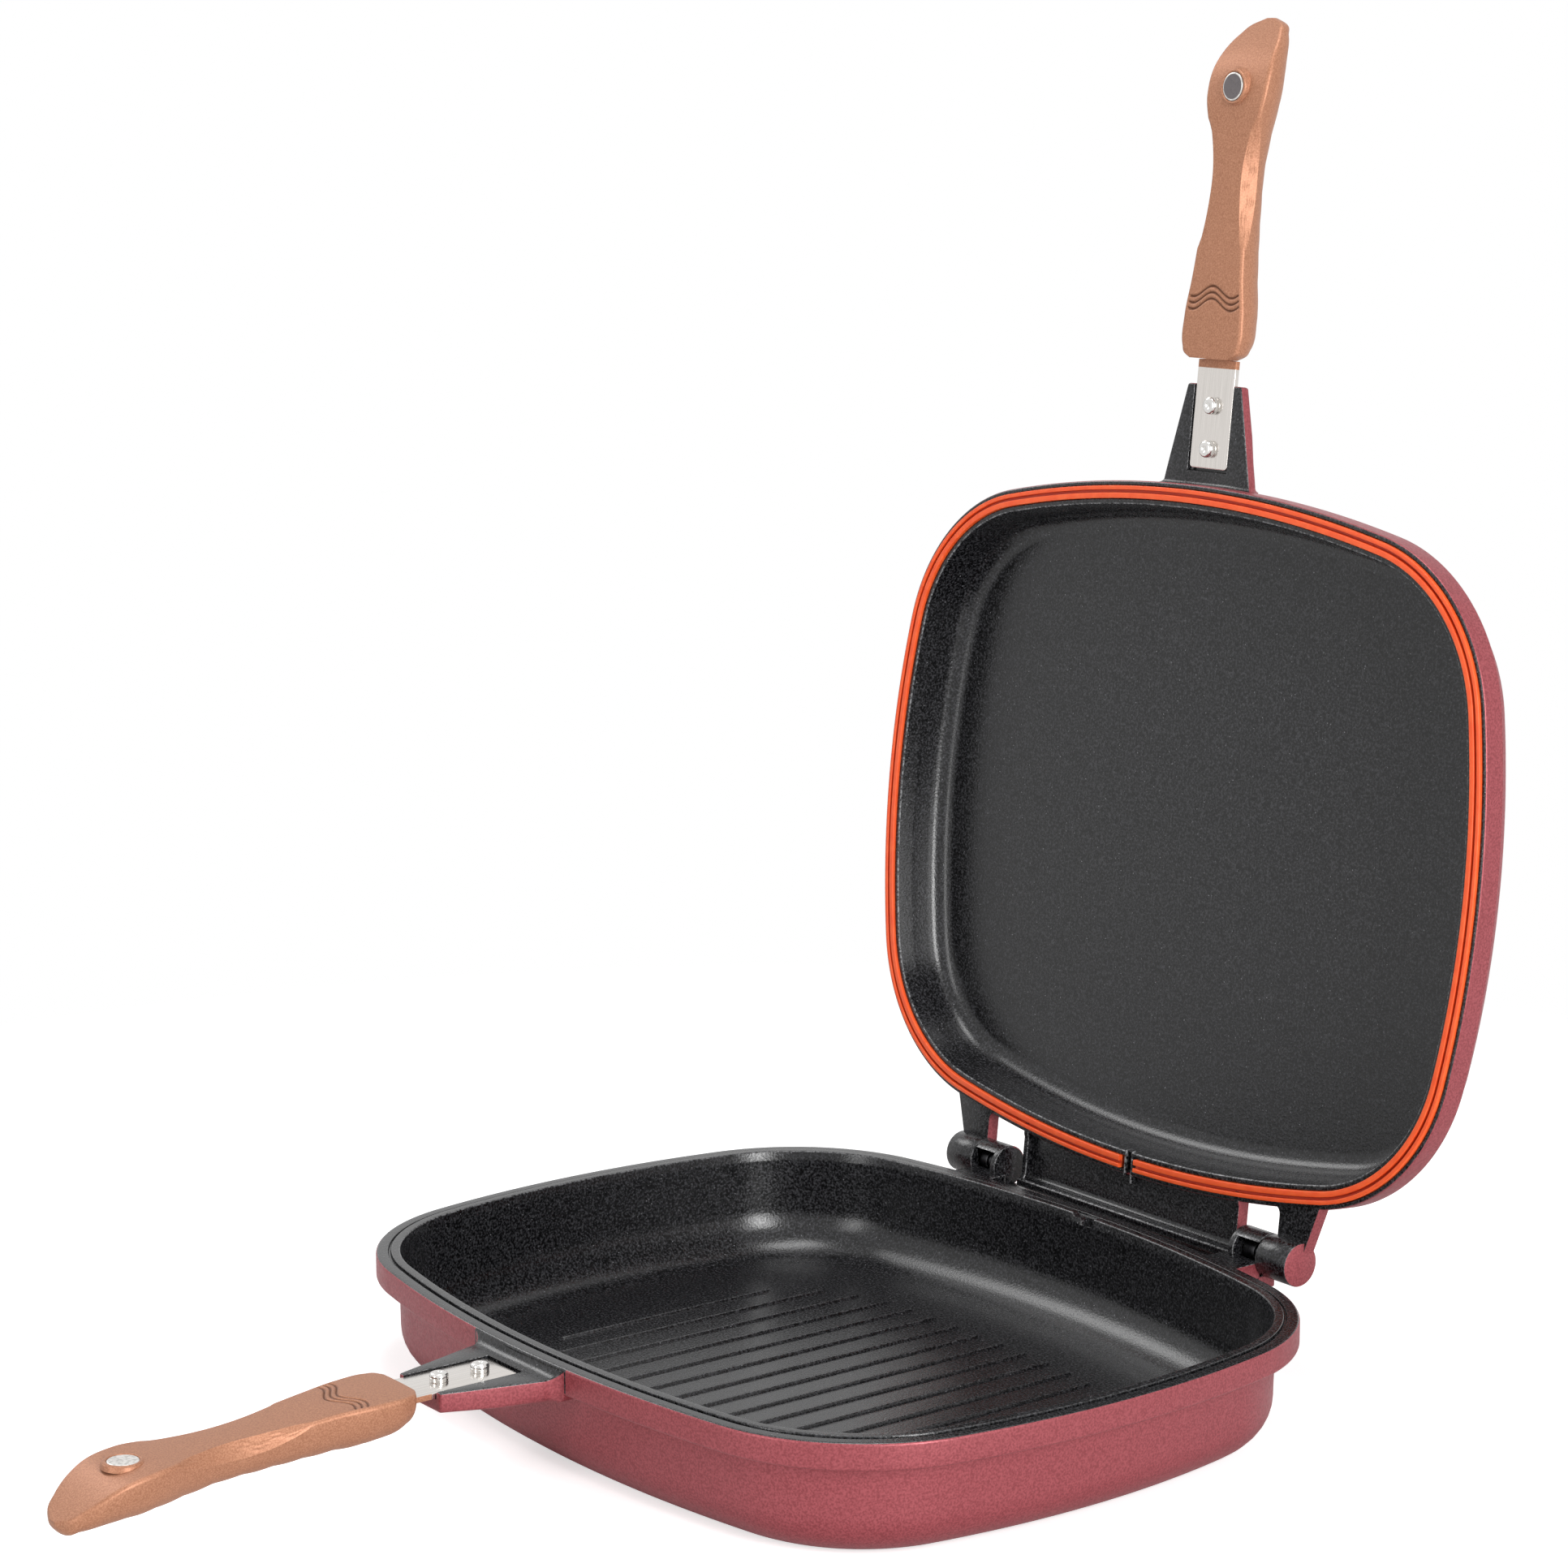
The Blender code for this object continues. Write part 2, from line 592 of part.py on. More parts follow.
def add_trough(lid, side, material):
    """Drip trough with closed ends between the hinge arms."""
    plate = slab("trough_tool", trough_section(side), -TROUGH_HALF_WIDTH, TROUGH_HALF_WIDTH, "X",
                 material, side.carrier)
    combine(lid, plate, "UNION")
    lip = HINGE_Y + TROUGH_BEHIND_AXIS
    tip = HINGE_Z - TROUGH_LIP_PAST_AXIS
    root = rear_edge(TROUGH_HALF_WIDTH, TROUGH_BURY)
    back = level(side, TROUGH_RECESS + TROUGH_WALL / 2)
    cheek = [(root, level(side, 0)), (lip - TROUGH_FILLET, level(side, 0)),
             (lip + TROUGH_LIP / 2, tip), (lip + TROUGH_LIP / 2, back), (root, back)]
    for hand, label in ((-1, "left"), (1, "right")):
        outer = hand * (TROUGH_HALF_WIDTH - PIECE_GAP)
        inner = hand * (TROUGH_HALF_WIDTH - TROUGH_WALL)
        wall = slab(label + "_trough_end_tool", cheek, outer, inner, "X", material, side.carrier)
        combine(lid, wall, "UNION")


def upper_pan(side, material):
    """Shallow shell with seal channel, hinge arms, drip trough, steam vent and handle bracket."""
    profile = shell_profile(side, UPPER_DEPTH, UPPER_FLOOR, UPPER_BOTTOM_RADIUS,
                            UPPER_INNER_RADIUS, upper_rim_face(side))
    lid = loft("upper_pan", rim_rings(profile), material, side.carrier)
    add_bracket(lid, side, material)
    add_hinge_arms(lid, side, material)
    add_trough(lid, side, material)
    vent = block(
        "vent_tool",
        (-VENT_WIDTH / 2, RIM_HALF_DEPTH - BAND_WIDTH - WALL, level(side, -CUT_OVERRUN)),
        (VENT_WIDTH / 2, RIM_HALF_DEPTH + CUT_OVERRUN, level(side, VENT_DEPTH)),
        material, side.carrier)
    combine(lid, vent, "DIFFERENCE")
    return lid


def lid_seal(side, material):
    """Seal ring with two lips, seated in the lid's channel and open at the steam vent."""
    seat = level(side, SEAL_DEPTH - PIECE_GAP)
    crown = level(side, -SEAL_PROUD)
    shoulder = level(side, LIP_EDGE - SEAL_PROUD)
    floor = level(side, LIP_GROOVE_FLOOR)
    start = SEAL_INSET
    end = SEAL_INSET + SEAL_WIDTH
    profile = [
        (start, seat), (end, seat), (end, shoulder), (end - LIP_EDGE, crown),
        (end - LIP_WIDTH + LIP_EDGE, crown), (end - LIP_WIDTH, shoulder), (end - LIP_WIDTH, floor),
        (start + LIP_WIDTH, floor), (start + LIP_WIDTH, shoulder), (start + LIP_WIDTH - LIP_EDGE, crown),
        (start + LIP_EDGE, crown), (start, shoulder),
    ]
    seal = loft("lid_seal", rim_rings(profile), material, side.carrier, closed=True)
    gap = block(
        "seal_gap_tool",
        (-SEAL_GAP_WIDTH / 2, RIM_HALF_DEPTH - BAND_WIDTH, level(side, -CUT_OVERRUN)),
        (SEAL_GAP_WIDTH / 2, RIM_HALF_DEPTH, level(side, SEAL_DEPTH + CUT_OVERRUN)),
        material, side.carrier)
    combine(seal, gap, "DIFFERENCE")
    return seal


def hinge_pin(side, hand, label, material):
    """Grooved pin, pressed into the lid's barrel and reaching into the lower pan's hook."""
    inner = BARREL_OUTER_X - BARREL_LENGTH
    wall_face = inner - PIECE_GAP - HOOK_LENGTH + HOOK_END_WALL
    start = wall_face + PIECE_GAP
    groove = (start + inner) / 2
    waist = PIN_RADIUS - PIN_GROOVE_DEPTH
    profile = [
        (PIN_RADIUS - PIN_NOSE, start), (PIN_RADIUS, start + PIN_NOSE),
        (PIN_RADIUS, groove), (waist, groove),
        (waist, groove + PIN_GROOVE_WIDTH), (PIN_RADIUS, groove + PIN_GROOVE_WIDTH),
        (PIN_RADIUS, inner + PIN_IN_BARREL),
    ]
    profile = [(radius, hand * x) for radius, x in profile]
    return turned("hinge_pin_" + label, profile, BARREL_STEPS, "X", (0, HINGE_Y, HINGE_Z),
                  material, side.carrier)


# Handle side, the same on both shells

def tang_top(side):
    """Drop of the tang's upper face."""
    return side.bracket.drop + POCKET_DEPTH - PIECE_GAP - TANG_THICKNESS


def tang(side, material):
    """Flat steel strip: full width in the bracket, a narrower tail inside the handle."""
    start = FRONT - POCKET_WALL - TANG_SIDE_GAP
    shoulder = FRONT - HANDLE_ROOT_SETBACK + PIECE_GAP
    end = shoulder - TANG_TAIL_LENGTH
    half = TANG_HALF_WIDTH
    plan = [
        (-half + TANG_CORNER, start), (half - TANG_CORNER, start), (half, start - TANG_CORNER),
        (half, shoulder), (TANG_TAIL_HALF, shoulder),
        (TANG_TAIL_HALF, end + TANG_CORNER), (TANG_TAIL_HALF - TANG_CORNER, end),
        (-TANG_TAIL_HALF + TANG_CORNER, end), (-TANG_TAIL_HALF, end + TANG_CORNER),
        (-TANG_TAIL_HALF, shoulder), (-half, shoulder), (-half, start - TANG_CORNER),
    ]
    top = tang_top(side)
    strip = slab(side.label + "_tang", plan, level(side, top), level(side, top + TANG_THICKNESS), "Z",
                 material, side.carrier)
    for number, y in enumerate(rivet_places(side)):
        hole = rivet_hole(side, side.label + "_tang_hole_tool_" + str(number), y, material)
        combine(strip, hole, "DIFFERENCE")
    return strip


def rivet(side, name, y, material):
    """Round head with a dished top, shank, and a formed tail under the bracket."""
    shape = side.bracket
    slope = (shape.root_bottom - shape.tip_bottom) / (shape.length - shape.ramp_length)
    past_ramp = FRONT - shape.ramp_length - y
    underside = shape.root_bottom - slope * past_ramp
    tail = underside + PIECE_GAP + slope * RIVET_TAIL_RADIUS
    seat = tang_top(side) - PIECE_GAP
    crown = seat - RIVET_HEAD_HEIGHT
    profile = [
        (RIVET_DISH_RADIUS, crown + RIVET_DISH),
        (RIVET_CROWN_RADIUS, crown),
        (RIVET_HEAD_RADIUS - RIVET_HEAD_ROUND / 2, crown + RIVET_HEAD_EASE),
        (RIVET_HEAD_RADIUS, crown + RIVET_HEAD_ROUND),
        (RIVET_HEAD_RADIUS, seat),
        (RIVET_SHANK_RADIUS, seat),
        (RIVET_SHANK_RADIUS, tail),
        (RIVET_TAIL_RADIUS, tail),
        (RIVET_TAIL_RADIUS - RIVET_TAIL_HEIGHT / 2, tail + RIVET_TAIL_HEIGHT),
    ]
    profile = [(radius, level(side, drop)) for radius, drop in profile]
    return turned(name, profile, RIVET_STEPS, "Z", (0, y, 0), material, side.carrier)


def smooth(at, shares, values):
    """Cubic curve through hand-picked values, with slopes taken from their neighbours."""
    shares = np.array(shares)
    values = np.array(values)
    slopes = np.gradient(values, shares)
    slot = np.clip(np.searchsorted(shares, at) - 1, 0, len(shares) - 2)
    width = shares[slot + 1] - shares[slot]
    s = (at - shares[slot]) / width
    return ((1 + 2 * s) * (1 - s) ** 2 * values[slot] + s * (1 - s) ** 2 * width * slopes[slot]
            + s ** 2 * (3 - 2 * s) * values[slot + 1] - s ** 2 * (1 - s) * width * slopes[slot + 1])


def handle_ring(side, y, half, face, depth):
    """Section of the handle: flat face, short rounded edges and a full belly."""
    edge = min(HANDLE_EDGE, EDGE_LIMIT_SHARE * half, EDGE_LIMIT_SHARE * depth)
    shoulder = half - EDGE_CUT_SHARE * edge
    shoulder_drop = face + EDGE_LIMIT_SHARE * edge
    points = [(-half + edge, face), (half - edge, face), (shoulder, shoulder_drop)]
    for turn in np.linspace(0, math.pi, HANDLE_BELLY_STEPS + 1):
        across = half * math.copysign(abs(math.cos(turn)) ** HANDLE_BELLY_POWER_SHARE, math.cos(turn))
        down = (depth - edge) * abs(math.sin(turn)) ** HANDLE_BELLY_POWER_SHARE
        points.append((across, face + edge + down))
    points.append((-shoulder, shoulder_drop))
    return [(x, y, level(side, drop)) for x, drop in points]


def handle(side, material):
    """Moulded handle over the tang's tail, with a round boss for the magnet."""
    root = FRONT - HANDLE_ROOT_SETBACK
    shape = side.grip
    at = (1 - np.cos(np.linspace(0, math.pi, HANDLE_RINGS))) / 2
    halves = HANDLE_HALF_WIDTH * smooth(at, STATION_SHARES, WIDTH_SHARES)
    depths = HANDLE_DEPTH * smooth(at, STATION_SHARES, DEPTH_SHARES)
    slope = shape.boss_drop - shape.root_drop
    faces = shape.root_drop + slope * smooth(at, STATION_SHARES, FACE_SHARES)
    faces = faces + shape.droop * smooth(at, STATION_SHARES, DROOP_SHARES)
    rings = [handle_ring(side, root - HANDLE_LENGTH * share, half, face, depth)
             for share, half, face, depth in zip(at, halves, faces, depths)]
    grip = loft(side.label + "_handle", rings, material, side.carrier)
    place = magnet_place()
    face = magnet_face(side)
    boss_profile = [
        (BOSS_TOP_RADIUS, level(side, face + MAGNET_PROUD)),
        (BOSS_BASE_RADIUS, level(side, shape.boss_drop)),
        (BOSS_BASE_RADIUS, level(side, shape.boss_drop + HANDLE_DEPTH * BOSS_BURY_SHARE)),
    ]
    boss = turned(side.label + "_boss_tool", boss_profile, MAGNET_STEPS, "Z", place,
                  material, side.carrier)
    combine(grip, boss, "UNION")
    seat = MAGNET_RADIUS + PIECE_GAP
    recess = turned(side.label + "_magnet_seat_tool",
                    [(seat, level(side, -CUT_OVERRUN)),
                     (seat, level(side, face + MAGNET_THICKNESS + PIECE_GAP))],
                    MAGNET_STEPS, "Z", place, material, side.carrier)
    combine(grip, recess, "DIFFERENCE")
    top = tang_top(side)
    ends = sorted((level(side, top - PIECE_GAP), level(side, top + TANG_THICKNESS + PIECE_GAP)))
    slot_half = TANG_TAIL_HALF + PIECE_GAP
    slot = block(
        side.label + "_tail_slot_tool",
        (-slot_half, root - TANG_TAIL_LENGTH - PIECE_GAP, ends[0]),
        (slot_half, root + CUT_OVERRUN, ends[1]), material, side.carrier)
    combine(grip, slot, "DIFFERENCE")
    return grip


def magnet_place():
    """Where the magnet stands on the handle."""
    return 0, FRONT - HANDLE_ROOT_SETBACK - HANDLE_LENGTH * MAGNET_PLACE_SHARE, 0


def magnet_face(side):
    """Drop of the magnet's visible face."""
    return side.grip.boss_drop - BOSS_RISE - MAGNET_PROUD


def magnet(side, material):
    """Round disc magnet in the handle's boss."""
    face = magnet_face(side)
    profile = [
        (MAGNET_RADIUS - MAGNET_CHAMFER, level(side, face)),
        (MAGNET_RADIUS, level(side, face + MAGNET_CHAMFER)),
        (MAGNET_RADIUS, level(side, face + MAGNET_THICKNESS)),
    ]
    return turned(side.label + "_handle_magnet", profile, MAGNET_STEPS, "Z", magnet_place(),
                  material, side.carrier)


def handle_set(side, steel, grip, nickel):
    """Tang, two rivets, handle and magnet of one shell."""
    tang(side, steel)
    for name, y in zip(("inner", "outer"), rivet_places(side)):
        rivet(side, side.label + "_rivet_" + name, y, steel)
    handle(side, grip)
    magnet(side, nickel)


def hinge_axis():
    """Empty on the hinge axis that carries the lid."""
    axis = bpy.data.objects.new("lid_hinge", None)
    axis.location = (0, HINGE_Y, HINGE_Z)
    bpy.context.scene.collection.objects.link(axis)
    return axis


def main():
    for item in list(bpy.data.objects):
        bpy.data.objects.remove(item)
    cast = paint("cast_aluminium_red", (0.30, 0.06, 0.07), 0.42, 0.30)
    silicone = paint("silicone_orange", (0.84, 0.16, 0.03), 0.55, 0.0)
    steel = paint("stainless_steel", (0.66, 0.63, 0.60), 0.28, 1.0)
    blackened = paint("blackened_steel", (0.03, 0.03, 0.03), 0.40, 1.0)
    grip = paint("phenolic_copper_paint", (0.55, 0.28, 0.16), 0.50, 0.10)
    nickel = paint("nickel_plate", (0.72, 0.70, 0.68), 0.22, 1.0)
    axis = hinge_axis()
    lower = Side("lower", LOWER_HEIGHT, -1, None, LOWER_BRACKET, LOWER_GRIP)
    upper = Side("upper", LID_PLANE, 1, axis, UPPER_BRACKET, UPPER_GRIP)
    lower_pan(lower, cast)
    upper_pan(upper, cast)
    lid_seal(upper, silicone)
    for hand, label in ((-1, "left"), (1, "right")):
        hinge_pin(upper, hand, label, blackened)
    for side in (lower, upper):
        handle_set(side, steel, grip, nickel)
    axis.rotation_euler.x = -OPEN_ANGLE


main()
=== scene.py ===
# %% [markdown]
# The pan comes in as plain solids: two cast shells on a hinge, a seal, pins, tangs, rivets,
# handles and magnets. They fix every place and size, and the joint that opens the lid.
# This script never moves them. It covers them with finer surfaces that ride the same bodies,
# so the closed pan and the open pan both stay right.

# %% Load the solids
import json
import math
from collections import namedtuple

import bpy
import numpy as np
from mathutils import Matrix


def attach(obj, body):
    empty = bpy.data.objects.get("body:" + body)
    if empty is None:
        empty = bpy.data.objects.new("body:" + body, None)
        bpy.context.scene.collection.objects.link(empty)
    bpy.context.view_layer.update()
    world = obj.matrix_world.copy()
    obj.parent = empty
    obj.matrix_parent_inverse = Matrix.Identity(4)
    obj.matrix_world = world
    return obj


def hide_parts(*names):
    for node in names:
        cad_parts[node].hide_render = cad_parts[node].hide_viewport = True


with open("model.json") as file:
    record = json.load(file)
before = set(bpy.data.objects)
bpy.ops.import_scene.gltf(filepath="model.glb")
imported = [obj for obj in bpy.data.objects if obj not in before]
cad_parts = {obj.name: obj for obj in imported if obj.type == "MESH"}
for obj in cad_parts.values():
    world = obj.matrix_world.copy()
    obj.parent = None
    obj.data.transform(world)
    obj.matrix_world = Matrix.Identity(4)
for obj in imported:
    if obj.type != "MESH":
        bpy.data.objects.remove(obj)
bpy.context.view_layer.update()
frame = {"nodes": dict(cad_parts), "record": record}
print("solids", sorted(frame["nodes"]))

# %% [markdown]
# All drawings of this pan are in millimetres. The hinge axis comes from the joint itself, and
# the lid is drawn closed, lying on the lower pan, because that is how its parts are measured.
# One turn about the hinge then stands it up. Both shells share most of their drawings, so depths
# are given as a drop behind the rim plane: down in the lower pan, up in the closed lid.

# %% Main sizes in millimetres
MM = 0.001
RIM_HALF_WIDTH, RIM_HALF_DEPTH = 201.1, 163.0
SIDE_BULGE, FRONT_BULGE, CORNER = 439.6, 635.6, 86.5
FRONT = -RIM_HALF_DEPTH
OPEN_ANGLE = math.radians(95.6)
hinge = np.array(frame["record"]["behaviour"]["joints"][0]["pos_m"]) / MM
HINGE_Y, HINGE_Z = hinge[1], hinge[2]
Side = namedtuple("Side", "body plane sign")
LOWER = Side("lower", 54.0, -1)
LID = Side("lid", 56.4, 1)
print("hinge axis at", hinge.round(2), "mm")


def behind(side, points):
    """Turns (x, y, drop) into (x, y, z): z is the rim plane plus sign times drop."""
    return np.stack([points[..., 0], points[..., 1], side.plane + side.sign * points[..., 2]], -1)


# %% [markdown]
# Colours are written as the hex values that a paint chart would give. Blender calculates with
# linear light, so one function turns the one into the other: below a small value a straight
# line, above it a power of 2.4.

# %% Colours


def linear(code):
    """Linear RGBA of a hex colour: (c + 0.055) / 1.055 to the power 2.4, or c / 12.92 when dark."""
    c = np.array([int(code[k:k + 2], 16) for k in (1, 3, 5)]) / 255
    return (*np.where(c > 0.04045, ((c + 0.055) / 1.055) ** 2.4, c / 12.92), 1.0)


# %% [markdown]
# Every surface here is a sheet of points with rows and columns. A cast wall is a section carried
# round the rim, a rivet is a section turned round an axis. numpy works all points out at once,
# and the mesh takes them together with the four corners of each face. Each sheet also carries
# two marks: which finish a face has, and a mark of each point from 0 to 1 that holds wear and
# tarnish, and also painted light: painted highlights on coated edges and painted shade in grooves.

# %% Sheets of points


def sheet(points, wrap=True, close=False, slots=0, ends=(None, None), wear_and_painted_light=0.0):
    """Faces of a grid: row r and column c join to r + 1 and c + 1. wrap joins the last column to
    the first, close the last row to the first. Otherwise the first and last row get flat ends.
    The enclosed volume, a sum of a . (b x c), tells whether the faces point inwards."""
    rows, cols = points.shape[:2]
    r = np.arange(rows if close else rows - 1)[:, None]
    c = np.arange(cols if wrap else cols - 1)[None, :]
    after, beside = (r + 1) % rows, (c + 1) % cols
    quads = np.stack([r * cols + c, r * cols + beside, after * cols + beside, after * cols + c], -1)
    kinds = np.broadcast_to(slots, quads.shape[:2])
    blocks, marks = [quads.reshape(-1, 4)], [kinds.ravel()]
    if wrap and not close:
        ring = np.arange(cols)
        blocks += [ring[None, ::-1], ring[None, :] + (rows - 1) * cols]
        marks += [[kinds[0, 0] if ends[0] is None else ends[0]],
                  [kinds[-1, 0] if ends[1] is None else ends[1]]]
    flat = points.reshape(-1, 3)
    middle = flat - flat.mean(0)
    volume = 0.0
    for block in blocks:
        for k in range(2, block.shape[1]):
            a, b, c = (middle[block[:, j]] for j in (0, k - 1, k))
            volume += np.einsum("ij,ij->", a, np.cross(b, c))
    if volume < 0:
        blocks = [block[:, ::-1] for block in blocks]
    return flat, blocks, np.concatenate(marks), np.broadcast_to(wear_and_painted_light, (rows, cols)).ravel()


def stand_up(points):
    """Turns points of the closed lid about the hinge: y and z rotate by the opening angle."""
    y, z = points[..., 1] - HINGE_Y, points[..., 2] - HINGE_Z
    c, s = math.cos(OPEN_ANGLE), math.sin(OPEN_ANGLE)
    return np.stack([points[..., 0], c * y + s * z + HINGE_Y, -s * y + c * z + HINGE_Z], -1)


def piece(name, sheets, body, node, materials, sharp=34):
    """One mesh from several sheets. Sheets of the lid are drawn closed and stood up here."""
    verts = np.vstack([part[0] for part in sheets])
    faces, start = [], 0
    for flat, blocks, _, _ in sheets:
        faces += [face for block in blocks for face in (block + start).tolist()]
        start += len(flat)
    mesh = bpy.data.meshes.new(name)
    mesh.from_pydata(((stand_up(verts) if body == "lid" else verts) * MM).tolist(), [], faces)
    for material in materials:
        mesh.materials.append(material)
    kinds = np.concatenate([part[2] for part in sheets]).astype(np.int32)
    mesh.polygons.foreach_set("material_index", kinds)
    # The per-point mark: wear and tarnish, plus painted highlights on coated edges and painted
    # shade in pressed grooves.
    wear = mesh.attributes.new("wear_and_painted_light", "FLOAT", "POINT")
    wear.data.foreach_set("value", np.concatenate([part[3] for part in sheets]).astype(np.float32))
    mesh.shade_smooth()
    mesh.set_sharp_from_angle(angle=math.radians(sharp))
    made = bpy.data.objects.new(name, mesh)
    bpy.context.scene.collection.objects.link(made)
    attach(made, body)
    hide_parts(node)
    print(name, len(mesh.polygons), "faces")


# %% [markdown]
# Castings and pressings have no sharp corner: the mould or the die rounds each one. A section is
# therefore written as corner points with a radius each, and one function puts the arcs in. It
# always gives a corner the same number of points, so that sections of a tapering arm still match
# point by point, and it tells where on the section each point lies.

# %% Rounded sections


def rounded(corners, steps=5, closed=False):
    """Polyline with tangent arcs: the arc touches both lines at radius / tan(half the corner).
    Returns the points, a mark sin(pi t) that is 1 in the middle of an arc, and corner + t."""
    corners = np.array(corners, float)
    count = len(corners)
    pts, marks, spots = [], [], []
    for k in range(count):
        b, radius = corners[k, :2], corners[k, 2]
        if radius <= 0 or (not closed and k in (0, count - 1)):
            pts, marks, spots = pts + [b], marks + [0.0], spots + [k + 0.5]
            continue
        a, c = corners[k - 1, :2], corners[(k + 1) % count, :2]
        la, lc = np.linalg.norm(a - b), np.linalg.norm(c - b)
        u, v = (a - b) / la, (c - b) / lc
        half = math.acos(np.clip(u @ v, -1, 1)) / 2
        reach = min(radius / math.tan(half), 0.49 * la, 0.49 * lc)
        hub = b + (u + v) / np.linalg.norm(u + v) * reach / math.cos(half)
        first, last = b + u * reach - hub, b + v * reach - hub
        sweep = math.atan2(first[0] * last[1] - first[1] * last[0], first @ last)
        t = np.linspace(0, 1, steps + 1)
        turn = (t * sweep)[:, None]
        pts += list(hub + np.cos(turn) * first + np.sin(turn) * np.array([-first[1], first[0]]))
        marks += list(np.sin(np.pi * t))
        spots += list(k + t)
    return np.array(pts), np.array(marks), np.array(spots)


def between(spots, count):
    """Place of each face of a closed section: the mean of the places of its two points."""
    return (spots + np.append(spots[1:], spots[0] + count)) / 2


def inward(outline, distance):
    """Closed outline moved inwards: each point goes along n1 + n2 of its two edges, divided by
    1 + n1 . n2, so that both edges keep the same distance."""
    ahead = np.roll(outline, -1, 0) - outline
    ahead /= np.linalg.norm(ahead, axis=1)[:, None]
    x, y = outline.T
    area = np.sum(x * np.roll(y, -1) - y * np.roll(x, -1))
    normal = np.sign(area) * np.c_[-ahead[:, 1], ahead[:, 0]]
    back = np.roll(normal, 1, 0)
    return outline + distance * (normal + back) / (1 + np.sum(normal * back, 1))[:, None]


def plate(outline, low, high, edge, axis=2, marks=0.0, steps=4):
    """A flat outline carried from low to high, its two edges rounded: the inset is
    edge * (1 - sin t) while the height is edge * (1 - cos t). Returns points and edge marks, which
    the coating shows lighter: partly wear, partly a painted highlight."""
    t = np.linspace(0, math.pi / 2, steps + 1)
    inset = np.r_[edge * (1 - np.sin(t)), edge * (1 - np.sin(t))[::-1]]
    height = np.r_[low + edge * (1 - np.cos(t)), high - edge * (1 - np.cos(t))[::-1]]
    rows = [np.insert(inward(outline, i), axis, h, axis=1) for i, h in zip(inset, height)]
    row_marks = np.r_[np.sin(2 * t), np.sin(2 * t)[::-1]][:, None]
    return np.stack(rows), np.maximum(row_marks, np.broadcast_to(marks, (1, len(outline))))


def turned(profile, centre, axis=2, steps=48):
    """A profile of (radius, height) pairs turned round an axis: x = r cos t and y = r sin t."""
    profile = np.asarray(profile, float)
    t = np.arange(steps) * 2 * math.pi / steps
    flat = profile[:, :1, None] * np.stack([np.cos(t), np.sin(t)])[None]
    rise = np.broadcast_to(profile[:, 1:2], (len(profile), steps))
    order = [flat[:, 0], flat[:, 1], rise] if axis == 2 else [rise, flat[:, 0], flat[:, 1]]
    return np.stack(order, -1) + np.array(centre)


# %% [markdown]
# Seen from above, the rim has four gently bulged sides and four round corners. A point of it
# lies at centre + (radius - inset) in the direction of the angle, so that any inset gives an
# outline parallel to the first. Round the middle of the rear the points lie closer together,
# because the steam vent and the notch of the bead are cut there.

# %% Outline of the rim


def rim(inset, steps=(14, 34, 20), fine=16, fine_reach=10):
    """Outline of the rim moved inwards: arcs of three circles per quarter, mirrored twice."""
    side = np.array([RIM_HALF_WIDTH - SIDE_BULGE, 0])
    front = np.array([0, RIM_HALF_DEPTH - FRONT_BULGE])
    near, far = SIDE_BULGE - CORNER, FRONT_BULGE - CORNER
    span = np.linalg.norm(front - side)
    along = (front - side) / span
    foot = (near ** 2 - far ** 2 + span ** 2) / (2 * span)
    beside = np.array([-along[1], along[0]]) * math.sqrt(near ** 2 - foot ** 2)
    corner = side + along * foot + beside
    start = math.atan2(*(corner - side)[::-1])
    end = math.atan2(*(corner - front)[::-1])
    middle = math.pi / 2 - fine_reach / FRONT_BULGE
    last = np.r_[np.linspace(end, middle, steps[2])[1:],
                 np.linspace(middle, math.pi / 2, fine + 1)[1:]]
    arcs = [(side, SIDE_BULGE, np.linspace(0, start, steps[0] + 1)),
            (corner, CORNER, np.linspace(start, end, steps[1] + 1)[1:]), (front, FRONT_BULGE, last)]
    quarter = np.vstack([c + (r - inset) * np.c_[np.cos(t), np.sin(t)] for c, r, t in arcs])
    half = np.vstack([quarter, quarter[-2::-1] * (-1, 1)])
    return np.vstack([half, half[-2:0:-1] * (1, -1)])


def rear_edge(x, inset=0.0):
    """Y of the rim's rear side at x, read from the outline."""
    plan = rim(inset)
    rear = plan[plan[:, 1] > 0]
    order = np.argsort(rear[:, 0])
    return np.interp(x, rear[order, 0], rear[order, 1])


def round_rim(section):
    """Carries a section of (inset, drop) pairs round the rim: one row for each pair."""
    return np.stack([np.insert(rim(inset), 2, drop, axis=1) for inset, drop in section])


print("rim", np.ptp(rim(0), axis=0).round(1), "mm with", len(rim(0)), "points")

# %% [markdown]
# The small tools that all finishes share. One adds a node, sets its values and links its
# sockets, and the others name what a finish is made of: grains, a colour ramp, a spread of
# values, a blend and small bumps. A pattern's scale comes from its real size: a texture in
# metres with scale 1 / size repeats about once per grain.

# %% Nodes


def add_node(tree, kind, inputs=None, **settings):
    """Adds a node, sets its own settings, and fills its sockets with values or with outputs."""
    node = tree.nodes.new("ShaderNode" + kind)
    for name, value in settings.items():
        setattr(node, name, value)
    for socket, value in (inputs or {}).items():
        if isinstance(value, bpy.types.NodeSocket):
            tree.links.new(value, node.inputs[socket])
        else:
            node.inputs[socket].default_value = value
    return node


def finish_named(name, **values):
    """A new material whose plain values are set on the sockets of its own Principled shader."""
    material = bpy.data.materials.new(name)
    material.use_nodes = True
    tree = material.node_tree
    shader = tree.nodes["Principled BSDF"]
    for socket, value in values.items():
        shader.inputs[socket.replace("_", " ")].default_value = value
    place = add_node(tree, "TexCoord").outputs["Object"]
    return material, tree, shader, place


